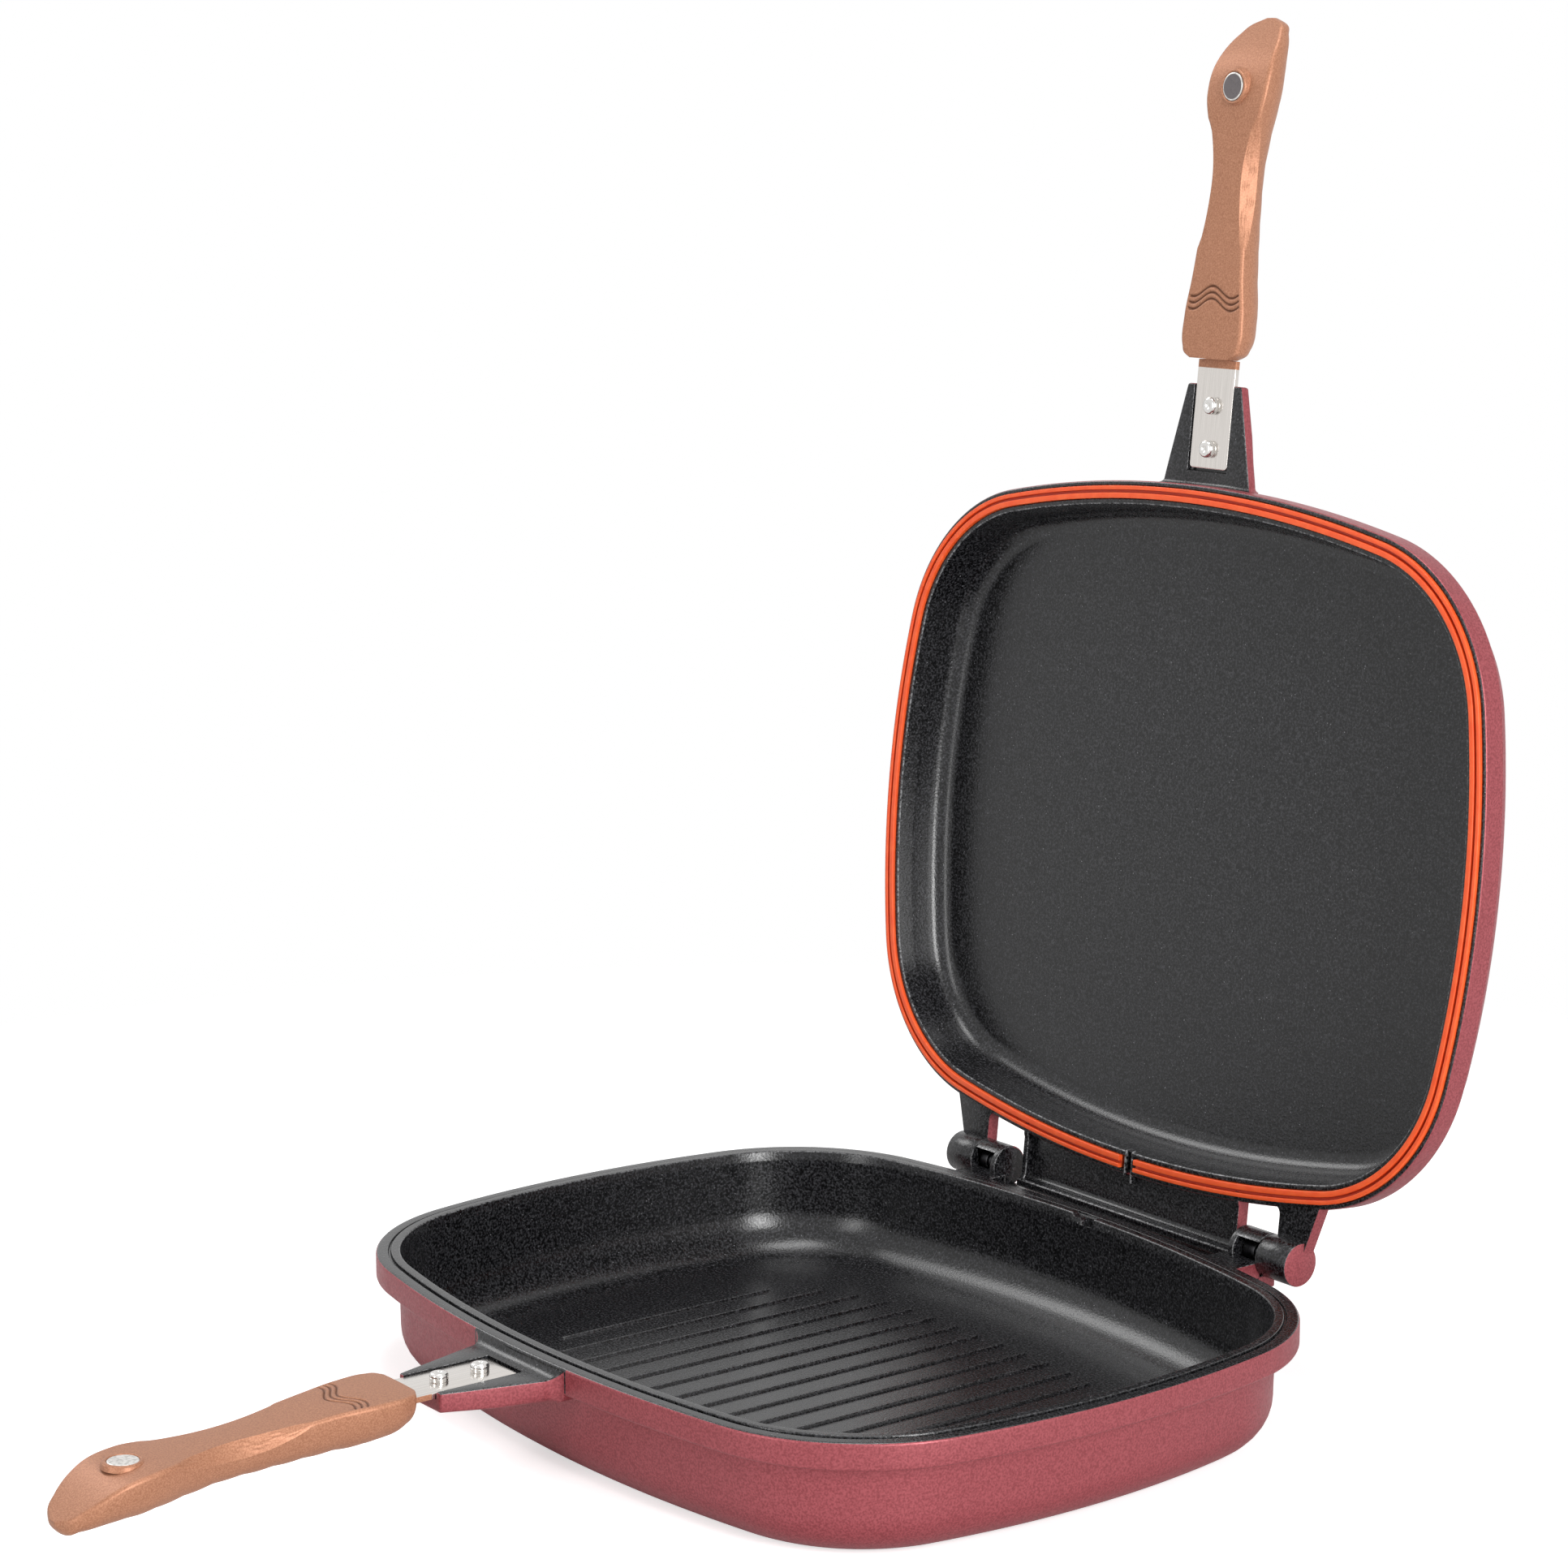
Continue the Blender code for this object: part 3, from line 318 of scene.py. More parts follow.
def per_size(size):
    """Scale of a texture in metres whose grains are size millimetres wide."""
    return 1 / (size * MM)


def grains(tree, place, size, detail):
    """Noise with grains size millimetres wide. Its values lie round one half."""
    return add_node(tree, "TexNoise", {"Vector": place, "Scale": per_size(size),
                                       "Detail": detail}).outputs["Fac"]


def ramp(tree, value, low, high):
    """Colour for a value: two stops, each a place between 0 and 1 and a hex colour."""
    node = add_node(tree, "ValToRGB", {"Fac": value})
    for stop, (spot, code) in zip(node.color_ramp.elements, (low, high)):
        stop.position, stop.color = spot, linear(code)
    return node.outputs[0]


def spread(tree, value, source, target):
    """Straight line from one range of values to another, held at both ends."""
    return add_node(tree, "MapRange", {"Value": value, "From Min": source[0], "From Max": source[1],
                                       "To Min": target[0], "To Max": target[1]}).outputs[0]


def blend(tree, share, first, second):
    """Colour between two others: the first at share 0, the second at share 1."""
    return add_node(tree, "Mix", {"Factor": share, "A": first, "B": second},
                    data_type="RGBA").outputs["Result"]


def combine(tree, operation, first, second):
    """One value from two, such as their product or the larger of them."""
    return add_node(tree, "Math", {0: first, 1: second}, operation=operation).outputs[0]


def wear_and_painted_light_mark(tree):
    """The mark of each point that the sheets carry, from 0 to 1: wear and tarnish, and also painted
    highlights on coated edges and painted shade in pressed grooves.
    """
    return add_node(tree, "Attribute", attribute_name="wear_and_painted_light").outputs["Fac"]


def dress(tree, shader, colour, roughness, height=None, strength=0.0, high=0.1):
    """Links colour and roughness, and turns a pattern into bumps up to high millimetres."""
    if height is not None:
        height = add_node(tree, "Bump", {"Height": height, "Strength": strength,
                                         "Distance": high * MM}).outputs[0]
    for socket, output in (("Base Color", colour), ("Roughness", roughness), ("Normal", height)):
        if output is not None:
            tree.links.new(output, shader.inputs[socket])


# %% [markdown]
# The outside of the casting is sprayed with a satin metallic red. Aluminium flakes in the paint
# make it light where it faces the lamp and dark where it turns away, which a metallic share of
# the shader gives. The flakes are far too small to show, so they are drawn 0.9 mm wide as a
# faint change of tone, and the spray leaves an orange peel about 2 mm across in the gloss.

# %% Metallic red paint
red_paint, tree, shader, place = finish_named("sprayed_metallic_red", Metallic=0.36)
flakes, peel = grains(tree, place, 0.9, 1.0), grains(tree, place, 2.0, 1.0)
tone = ramp(tree, flakes, (0.35, "#82383E"), (0.65, "#9C4C52"))
dress(tree, shader, tone, spread(tree, peel, (0.3, 0.7), (0.36, 0.46)), flakes, 0.25)
print(red_paint.name, "with flakes of 0.9 mm")

# %% [markdown]
# The cooking side has a baked non-stick coating: a charcoal fluoropolymer with mineral specks.
# The resin itself is nearly black, and it bends light little, so its mirror is weak. What looks
# grey is the white room on its slightly rough skin and a grain of paler mineral in it, which
# also breaks the highlights into fine sparkle. The grain is about 0.2 mm in reality and is drawn
# 1.1 mm wide, as finer grains would melt together. Pale specks are sparse: a Voronoi pattern
# with 2.2 mm cells, of which only a random few get a dot half a millimetre wide. On edges and on
# the crests of the ridges the coating is drawn lighter: partly real wear of a thin coat, partly a
# painted highlight along the rounded edges.

# %% Speckled non-stick coating
coating, tree, shader, place = finish_named("speckled_nonstick", Metallic=0.0,
                                            Specular_IOR_Level=0.42)
cells = add_node(tree, "TexVoronoi", {"Vector": place, "Scale": per_size(2.2), "Randomness": 1.0})
chance = add_node(tree, "SeparateColor", {"Color": cells.outputs["Color"]}).outputs[0]
dot = spread(tree, cells.outputs["Distance"], (0.07, 0.15), (1, 0))
speck = combine(tree, "MULTIPLY", dot, spread(tree, chance, (0.60, 1), (0, 1)))
grit, rub = grains(tree, place, 1.1, 2.0), grains(tree, place, 1.4, 2.0)
mottle = ramp(tree, grit, (0.42, "#040405"), (0.72, "#38383B"))
with_specks = blend(tree, speck, mottle, linear("#8E8E92"))
# Painted highlight and wear: marked edges and ridge crests are blended towards pale grey, broken by
# noise.
edge_wear_and_highlight = combine(tree, "MULTIPLY", wear_and_painted_light_mark(tree), spread(tree, rub, (0.42, 0.62), (0, 1)))
whole = blend(tree, edge_wear_and_highlight, with_specks, linear("#8E8E90"))
dress(tree, shader, whole, spread(tree, grit, (0.3, 0.7), (0.16, 0.32)), grit, 0.9)
print(coating.name, "with specks in cells of 2.2 mm")

# %% [markdown]
# The lower pan is one cast shell. Its section starts under the floor, rises up the outer wall,
# steps out to the rim band, crosses the land, the sealing groove and the raised bead, and goes
# down the inner wall to the floor. Carried round the rim, it gives the whole shell. Paint covers
# the rows outside and coating the rows inside. At the middle of the rear the bead is cut away
# over some 14 mm and the inner edge dips, so that steam finds its way to the lid's vent.

# %% Lower shell
NOTCH_X, NOTCH_HALF, NOTCH_RUN, NOTCH_DROP = 0.8, 7.6, 1.2, 1.2
DIP_X, DIP_HALF, DIP_RUN, DIP_DROP = 3.8, 5.0, 2.0, 3.0
lower_section, edge, spot = rounded([
    (70, 54, 0), (11.0, 54, 19.8), (10.4, 11.8, 1.8), (0, 11.8, 1.6), (0, 0, 1.3),
    (5.5, 0, 0.35), (5.8, 1.2, 0.3), (6.7, 1.2, 0.3), (7.0, -0.6, 0.5), (11.0, -0.6, 0.8),
    (11.8, 4, 6.0), (14.0, 49.5, 22.5), (70, 49.5, 0)], 9)
# Marked corners are drawn lighter in the coating: partly wear, partly a painted highlight on the
# rounded edges.
corner_wear_and_highlight = np.array([0, 0, 0, 0, 0.15, 0.1, 0, 0, 0.2, 0.5, 0, 0, 0])
wear_and_painted_light = (edge * corner_wear_and_highlight[np.minimum(spot.astype(int), 12)])[:, None]
grid = round_rim(lower_section)
x, rear = grid[..., 0], grid[..., 1] > 0
inset, drop = lower_section.T
on_bead = ((inset > 6.6) & (inset < 11.2) & (drop < 2))[:, None]
cut = np.clip((NOTCH_HALF - np.abs(x - NOTCH_X)) / NOTCH_RUN, 0, 1) * rear * on_bead
lowered = np.maximum(grid[..., 2], grid[..., 2] * (1 - cut) + NOTCH_DROP * cut)
grid[..., 2] = np.where(cut > 0, lowered, grid[..., 2])
on_edge = ((spot > 8.9) & (spot < 10.6))[:, None]
dip = np.clip((DIP_HALF - np.abs(x - DIP_X)) / DIP_RUN, 0, 1) * rear * on_edge
grid[..., 2] += DIP_DROP * dip * dip * (3 - 2 * dip)
middle = (grid[0] + np.roll(grid[0], -1, axis=0)) / 2
above_bracket = (middle[:, 1] < 0) & (np.abs(middle[:, 0]) < 28)
kinds = np.where((spot[:-1] + spot[1:])[:, None] / 2 < np.where(above_bracket, 3.9, 4.6), 0, 1)
piece("lower_shell", [sheet(behind(LOWER, grid), slots=kinds, wear_and_painted_light=wear_and_painted_light)], "lower", "lower_pan",
      [red_paint, coating])

# %% [markdown]
# Sixteen low bars stand on the floor, cast with it. Each has a rounded crown and feet that run
# out into the floor, so its section is a rounded trapezium. It is carried along the pan, and at
# both ends it shrinks like a quarter circle. The bars near the sides are shorter, because the
# field of bars follows the rounded shape of the floor.

# %% Ridges of the floor
RIDGE_PITCH, FIELD_HALF_WIDTH, FIELD_HALF_DEPTH, FIELD_POWER, FLOOR = 16.2, 128.0, 97.5, 3.6, 4.5
crest, edge, _ = rounded([
    (-2.3, -0.5, 0), (-2.3, -0.05, 0), (-1.25, 0.0, 0.7), (-0.8, 1.1, 0.5),
    (0.8, 1.1, 0.5), (1.25, 0.0, 0.7), (2.3, -0.05, 0), (2.3, -0.5, 0)], 4, True)
turn = np.linspace(0, math.pi / 2, 7)
shrink = np.maximum(np.sin(np.r_[turn, turn[::-1]]), 0.03)[:, None]
bars = []
for x in (np.arange(-8, 8) + 0.5) * RIDGE_PITCH:
    reach = FIELD_HALF_DEPTH * (1 - (abs(x) / FIELD_HALF_WIDTH) ** FIELD_POWER) ** (1 / FIELD_POWER)
    near = -reach + 2.2 * (1 - np.cos(turn))
    y = np.r_[near, -near[::-1]][:, None]
    rise = np.where(crest[:, 1] > 0, crest[:, 1] * shrink, crest[:, 1])
    bar = np.stack([x + crest[:, 0] * np.sqrt(shrink), y + 0 * rise, FLOOR + rise], -1)
    # The crests are drawn lighter: a painted highlight along each bar, partly also wear.
    bars.append(sheet(bar, wear_and_painted_light=0.3 * edge * (crest[:, 1] > 0.5)))
piece("floor_ridges", bars, "lower", "lower_pan", [coating])

# %% [markdown]
# Each shell has a bracket for its handle, a flat arm with a pocket for the steel tang. Its root
# curves up to the rim like a quarter of an ellipse, and a steel tool or a mould would make the
# pocket after it. Here the section is one outline shaped like a U, with eight corners, whose
# width, height and pocket depth change from station to station along the arm.

# %% Handle brackets
Bracket = namedtuple("Bracket", "drop length start ramp flare tip root_bottom tip_bottom")
LOWER_BRACKET = Bracket(5.2, 48.3, 0.8, 5.2, 33.5, 16.0, 15.8, 13.8)
LID_BRACKET = Bracket(10.0, 46.5, 8.4, 2.0, 31.0, 17.6, 16.4, 15.6)
ROOT_HALF, POCKET_WALL, POCKET_HALF, POCKET_DEPTH = 28.3, 6.3, 13.1, 3.4


def bracket(side, shape):
    """Loft along the distance d from the rim. Root: d = ramp * (1 - cos t), top = start +
    (drop - start) * sin t, half = root + (flare - root) * (1 - sin t). Then straight to the tip,
    where one millimetre is rounded off all round. Near the rim each station is bent by
    x squared / (2 * bulge radius), so that the flare runs out on the rim's curve."""
    t = np.linspace(0, math.pi / 2, 11)
    tip = np.linspace(0, math.pi / 2, 5)
    straight = np.r_[POCKET_WALL, POCKET_WALL + 0.2, 12, 24, 36, shape.length - 1 + np.sin(tip)]
    share = (straight - shape.ramp) / (shape.length - shape.ramp)
    ease = np.r_[np.zeros(5), 1 - np.cos(tip)]
    buried = max(shape.start, 4.2)
    d = np.r_[-11.8, -1.3, -1.2, shape.ramp * (1 - np.cos(t)), straight]
    half = np.r_[[shape.flare] * 3, ROOT_HALF + (shape.flare - ROOT_HALF) * (1 - np.sin(t)),
                 ROOT_HALF + (shape.tip - ROOT_HALF) * share - ease]
    top = np.r_[buried, buried, shape.start, shape.start + (shape.drop - shape.start) * np.sin(t),
                shape.drop + 0.7 * ease]
    bottom = np.r_[[shape.root_bottom] * 14,
                   shape.root_bottom + (shape.tip_bottom - shape.root_bottom) * share - ease]
    pocket = np.r_[[0.02] * 15, [POCKET_DEPTH] * 9] - np.r_[np.zeros(14), 0.7 * ease]
    pocket = np.maximum(pocket, 0.02)
    rows = []
    for far, w, z0, z1, p in zip(d, half, top, bottom, pocket):
        under = np.interp(far, [0, shape.ramp + 3, 20], [5.5, 4.5, 1.8])
        ring, edge, spot = rounded([
            (-POCKET_HALF, z0 + p, 0.6), (-POCKET_HALF, z0, 0.25), (-w, z0, 0.7), (-w, z1, under),
            (w, z1, under), (w, z0, 0.7), (POCKET_HALF, z0, 0.25), (POCKET_HALF, z0 + p, 0.6)],
            5, True)
        bend = ring[:, 0] ** 2 / (2 * FRONT_BULGE) * np.clip(1 - far / (shape.ramp + 6), 0, 1)
        rows.append(np.insert(ring, 1, FRONT - far + bend, axis=1))
    grid = np.stack(rows)
    weight = np.array([0, 0.9, 0.3, 0, 0, 0.3, 0.9, 0])[np.minimum(spot.astype(int), 7)]
    wear_and_painted_light = edge * weight * np.where((d > shape.ramp) & (d < shape.length), 1.0, 0.0)[:, None]
    place_of = between(spot, 8)
    kinds = np.where((place_of > 2.7) & (place_of < 5.3), 0, 1)[None, :]
    kinds = np.where(np.arange(len(d) - 1)[:, None] > len(d) - 4, 0, kinds)
    return sheet(behind(side, grid), slots=kinds, ends=(0, 0), wear_and_painted_light=wear_and_painted_light)


piece("lower_bracket", [bracket(LOWER, LOWER_BRACKET)], "lower", "lower_pan",
      [red_paint, coating])
piece("lid_bracket", [bracket(LID, LID_BRACKET)], "lid", "upper_pan",
      [red_paint, coating])

# %% [markdown]
# Behind the lower pan a flange carries two open hooks. A hook is a short cup: a round end wall,
# and beside it a C whose mouth opens to the front, so that the pin can be lifted out. The C is
# an outline of two arcs and the straight sides of the mouth, carried along the hinge line. The
# flange is a flat outline that follows the rim, and in front of each hook a low shelf fills the
# step up to the rim. The coating covers what faces the food, the paint what faces backwards.

# %% Flange and hooks
BARREL, BORE, HOOK_FROM, HOOK_TO, END_WALL = 10.0, 4.8, 82.0, 99.2, 3.3
MOUTH_TOP, MOUTH_BACK = 7.2, -0.8
FLANGE_TOP, FLANGE_BOTTOM = 46.1, 39.9
xs = np.linspace(-HOOK_TO, HOOK_TO, 41)
plan = [(x, y, 0) for x, y in zip(xs, rear_edge(xs, 11.8))]
plan += [(HOOK_TO, HINGE_Y + 4, 1.5), (-HOOK_TO, HINGE_Y + 4, 1.5)]
flange_plan, _, _ = rounded(plan, 4, True)
grid, edge = plate(flange_plan, FLANGE_BOTTOM, FLANGE_TOP, 0.5)
kinds = np.where(np.arange(len(grid) - 1) > 6, 1, 0)[:, None]
flange = sheet(grid, slots=kinds, ends=(0, 1), wear_and_painted_light=0.6 * edge * (grid[..., 2] > 44))

low = FLANGE_TOP + 0.3 - HINGE_Z
start = math.acos(-math.sqrt(1 - (MOUTH_TOP / BARREL) ** 2))
end = -math.pi + math.asin(-low / BARREL)
outer = np.linspace(start, end, 56)
inner = np.linspace(-math.acos(MOUTH_BACK / BORE), math.acos(MOUTH_BACK / BORE), 36)
hook_outline = np.vstack([
    BARREL * np.c_[np.cos(outer), np.sin(outer)], [(MOUTH_BACK - 1.5, low)], [(MOUTH_BACK, low)],
    BORE * np.c_[np.cos(inner), np.sin(inner)], [(MOUTH_BACK, MOUTH_TOP - 0.5)],
    [(MOUTH_BACK - 0.5, MOUTH_TOP)], [(BARREL * math.cos(start) + 1.0, MOUTH_TOP)]])
SHELF_FROM, SHELF_TOP, SHELF_BACK = 77.0, 53.0, HINGE_Y - 5.8
xs = np.linspace(SHELF_FROM, HOOK_TO, 9)
plan = [(x, y, 0) for x, y in zip(xs, rear_edge(xs, 3.0))]
plan += [(HOOK_TO, SHELF_BACK, 1.0), (SHELF_FROM, SHELF_BACK, 2.0)]
shelf_plan, _, _ = rounded(plan, 4, True)
hooks = []
for hand in (-1, 1):
    grid, edge = plate(shelf_plan, FLANGE_TOP - 2, SHELF_TOP, 0.5)
    red_end = (np.arange(len(grid) - 1)[:, None] < 6) & (shelf_plan[None, :, 0] > HOOK_TO - 1.2)
    hooks.append(sheet(grid * (hand, 1, 1), slots=np.where(red_end, 0, 1), ends=(1, 1),
                       wear_and_painted_light=0.5 * edge * (grid[..., 2] > 50)))
    red_back = np.where(hook_outline[:, 0] > 3.0, 0, 1)[None, :]
    grid, edge = plate(hook_outline + (HINGE_Y, HINGE_Z), HOOK_FROM + 2, HOOK_TO, 0.45, axis=0)
    mouth = np.zeros(len(hook_outline))
    mouth[[0, 1, -1, -2]] = 0.8
    hooks.append(sheet(grid * (hand, 1, 1), slots=red_back, ends=(1, 1),
                       wear_and_painted_light=np.maximum(0.8 * edge, mouth)))
    t = np.linspace(0, 2 * math.pi, 73)[:-1]
    disc = BARREL * np.c_[np.cos(t), np.sin(t)] + (HINGE_Y, HINGE_Z)
    grid, edge = plate(disc, HOOK_FROM, HOOK_FROM + END_WALL, 0.6, axis=0)
    kinds = np.where(disc[:, 0] > HINGE_Y + 3.0, 0, 1)[None, :]
    hooks.append(sheet(grid * (hand, 1, 1), slots=kinds, ends=(1, 1), wear_and_painted_light=0.5 * edge))
piece("hook_flange", [flange] + hooks, "lower", "lower_pan",
      [red_paint, coating])

# %% [markdown]
# The lid is a shallower shell with the same rim. Its flat side carries the channel for the seal
# between an outer and an inner land. At the middle of the rear the lands are cut down, and two
# thin walls stand left and right of the cut, which lead the steam out past the seal.

# %% Lid shell
lid_section, edge, spot = rounded([
    (70, 30, 0), (11.0, 30, 16), (10.4, 11.8, 1.8), (0, 11.8, 1.6), (0, 0, 1.3),
    (2.1, 0, 0.3), (2.1, 3.2, 0.2), (8.7, 3.2, 0.2), (8.7, 0, 0.3), (11.0, 0, 0.8),
    (12.4, 8, 10), (14.6, 26, 14), (70, 26, 0)], 9)
# Marked corners are drawn lighter in the coating: partly wear, partly a painted highlight on the
# rounded edges.
corner_wear_and_highlight = np.array([0, 0, 0, 0, 0.25, 0, 0, 0, 0.2, 0.9, 0, 0, 0])
wear_and_painted_light = (edge * corner_wear_and_highlight[np.minimum(spot.astype(int), 12)])[:, None]
grid = round_rim(lid_section)
x, rear = grid[..., 0], grid[..., 1] > 0
cut = np.clip((2.4 - np.abs(x)) / 0.4, 0, 1) * rear * ((spot > 4) & (spot < 10))[:, None]
grid[..., 2] = np.maximum(grid[..., 2], 2.6 * cut)
kinds = np.where((spot[:-1] + spot[1:]) / 2 < 4.6, 0, 1)[:, None]
lid_shell = sheet(behind(LID, grid), slots=kinds, wear_and_painted_light=wear_and_painted_light)
walls = []
WALL_FROM, WALL_TOP, WALL_FOOT, WALL_HALF = 151.4, 0.15, 4.6, 0.45
for x, reach in ((-2.4, 164.2), (2.2, 167.0)):
    outline, _, _ = rounded([(WALL_FROM, WALL_TOP, 0.5), (reach, WALL_TOP, 0.9),
                             (reach, WALL_FOOT, 0), (WALL_FROM, WALL_FOOT, 0)], 4, True)
    grid, _ = plate(outline, x - WALL_HALF, x + WALL_HALF, 0.3, axis=0)
    top = np.clip((1.2 - grid[..., 2]) / 0.5, 0, 1)
    walls.append(sheet(behind(LID, grid), slots=1, wear_and_painted_light=top))
piece("lid_shell", [lid_shell] + walls, "lid", "upper_pan",
      [red_paint, coating])

# %% [markdown]
# Two arms reach from the lid's rim back to the hinge and end in thick barrels that hold the pins.
# An arm is a flat outline with hollow curves at its root, where casting needs them against
# cracks. A barrel is turned, with a blind hole for the pin. Only the side of both that faces the
# food is coated.

# %% Hinge arms and barrels
ARM_INNER, ARM_ROOT, BARREL_FROM, BARREL_TO, ARM_THICK = 101.3, 127.0, 99.5, 118.6, 6.5
near, far = rear_edge(ARM_INNER, 1.0), rear_edge(ARM_ROOT, 1.0)
inner_foot, outer_foot, arm_side = ARM_INNER - 9, ARM_ROOT + 8, BARREL_TO - 0.1
arm_outline, _, _ = rounded([
    (inner_foot, rear_edge(inner_foot, 2.5), 0), (inner_foot, rear_edge(inner_foot, 1.0), 0),
    (ARM_INNER, near, 4.0), (ARM_INNER, HINGE_Y, 0), (arm_side, HINGE_Y, 0),
    (arm_side, HINGE_Y - 5, 6.0), (ARM_ROOT - 1.0, far, 3.0),
    (outer_foot, rear_edge(outer_foot, 1.0), 0),
    (outer_foot, rear_edge(outer_foot, 2.5), 0)], 5, True)
bore_end = BARREL_FROM + 14.1
barrel_profile = [
    (0.05, bore_end), (4.5, bore_end), (4.5, BARREL_FROM + 0.3), (4.8, BARREL_FROM),
    (BARREL - 0.8, BARREL_FROM), (BARREL - 0.25, BARREL_FROM + 0.2), (BARREL, BARREL_FROM + 0.8),
    (BARREL, BARREL_TO - 0.6), (BARREL - 0.2, BARREL_TO - 0.2), (BARREL - 0.6, BARREL_TO),
    (0.05, BARREL_TO)]
arms = []
for hand in (-1, 1):
    grid, edge = plate(arm_outline, 0.0, ARM_THICK, 0.5)
    kinds = np.where(np.arange(len(grid) - 1) < 2, 1, 0)[:, None]
    arms.append(sheet(behind(LID, grid) * (hand, 1, 1), slots=kinds, ends=(1, 0),
                      wear_and_painted_light=0.3 * edge * (grid[..., 2] < 1)))
    grid = turned(barrel_profile, (0, HINGE_Y, HINGE_Z), axis=0, steps=72)
    low = grid[:-1, :, 2] - HINGE_Z < 3.5
    row = np.arange(len(barrel_profile) - 1)[:, None]
    kinds = np.where(low & (row > 3) & (row < 8) | (row < 5), 1, 0)
    wear_and_painted_light = np.array([0, 0, 0, 0, 0, 0.5, 0, 0, 0.6, 0, 0])[:, None]
    arms.append(sheet(grid * (hand, 1, 1), slots=kinds, ends=(1, 0), wear_and_painted_light=wear_and_painted_light))
piece("lid_hinge_arms", arms, "lid", "upper_pan", [red_paint, coating])

# %% [markdown]
# Between the arms the lid has a trough with the section of an L. When the lid stands open, water
# that runs down its inside is caught there and does not drip on the hob. The L is carried along
# the hinge line, and a cheek closes each end.

# %% Drip trough
HALF, BACK, LIP, LIP_TO = 75.0, 4.0, HINGE_Y + 4.1, HINGE_Y + 8.0
TIP = LID.plane - (HINGE_Z - 0.8)
root = rear_edge(HALF, 1.4)
trough_outline, edge, spot = rounded([
    (root - 3, BACK, 0), (LIP, BACK, 3.0), (LIP, -TIP, 1.0), (LIP_TO, -TIP, 1.2),
    (LIP_TO, BACK + 3, 2.5), (root - 3, BACK + 3, 0)], 7, True)
weight = np.array([0, 0, 0.8, 0.5, 0, 0])[np.minimum(spot.astype(int), 5)]
grid, ends = plate(trough_outline, -HALF, HALF, 0.4, axis=0, marks=edge * weight)
across = between(spot, 6)
kinds = np.where((across > 3.6) & (across < 5.9), 0, 1)[None, :]
trough = [sheet(behind(LID, grid), slots=kinds, ends=(0, 0),
                wear_and_painted_light=np.maximum(0.3 * ends, edge * weight))]
cheek_outline, _, _ = rounded([
    (root - 3, 0.0, 0), (root + 2.5, 0.0, 0.6), (root + 4.0, 0.6, 2.0), (LIP - 2.0, 0.6, 3.0),
    (LIP + 1.9, -TIP + 0.3, 0.8), (LIP_TO - 1.0, BACK + 2, 0), (root - 3, BACK + 2, 0)], 6, True)
for hand in (-1, 1):
    grid, edge = plate(cheek_outline, HALF - 3.0, HALF + 0.1, 0.5, axis=0)
    front = np.clip((3.0 - grid[..., 2]) / 1.0, 0, 1)
    kinds = np.where(np.arange(len(grid) - 1) > 6, 0, 1)[:, None]
    trough.append(sheet(behind(LID, grid) * (hand, 1, 1), slots=kinds, ends=(1, 0),
                        wear_and_painted_light=0.9 * edge * front))
piece("drip_trough", trough, "lid", "upper_pan", [red_paint, coating])

# %% [markdown]
# The seal is a moulded ring of orange silicone with two lips and a groove between them. It lies
# in the lid's channel and is cut open at the steam vent. Silicone is matt, and light enters it a
# little way before it comes out again, so its shadows glow: subsurface scattering gives that.
# Its faint bloom is drawn as a change of tone some 6 mm wide. The groove between the lips gets
# painted shade: a deeper orange blended in along it.

# %% Silicone seal
silicone, tree, shader, place = finish_named(
    "moulded_silicone", Roughness=0.46, Subsurface_Weight=0.25, Subsurface_Scale=0.002,
    Subsurface_Radius=(1.0, 0.35, 0.15))
tone = ramp(tree, grains(tree, place, 6.0, 2.0), (0.3, "#E9531F"), (0.7, "#F1622C"))
# Painted shade: the marked groove is blended towards a deep orange.
whole = blend(tree, wear_and_painted_light_mark(tree), tone, linear("#B8330F"))
dress(tree, shader, whole, None, grains(tree, place, 0.8, 1.0), 0.12)

seal_section, _, spot = rounded([
    (2.4, 2.9, 0.2), (2.4, -1.5, 0.35), (4.3, -1.5, 0.3), (4.45, 0.5, 0.2), (5.65, 0.5, 0.2),
    (5.8, -1.5, 0.3), (8.4, -1.5, 0.4), (8.4, 2.9, 0.2)], 4, True)
SEAL_GAP_HALF = 4.6
path = round_rim(seal_section).transpose(1, 0, 2)
first = int(np.argmax(path[:, 0, 1]))
path = np.roll(path, -first, axis=0)
path = path[~((np.abs(path[:, 0, 0]) < SEAL_GAP_HALF) & (path[:, 0, 1] > 0))]
# Mark for painted shade in the groove between the lips, fading towards its mouth.
painted_seal_groove_shade = ((spot > 2.7) & (spot < 5.3)) * np.clip((seal_section[:, 1] + 1.4) / 1.2, 0, 1)
piece("seal_ring", [sheet(behind(LID, path), wear_and_painted_light=painted_seal_groove_shade)], "lid", "lid_seal",
      [silicone])

# %% [markdown]
# The pins are turned steel, blackened in hot oil against rust. The dark film is thin, and
# bright steel shows where the pin rubs, at its edges. It stays a metal, only a dark one.

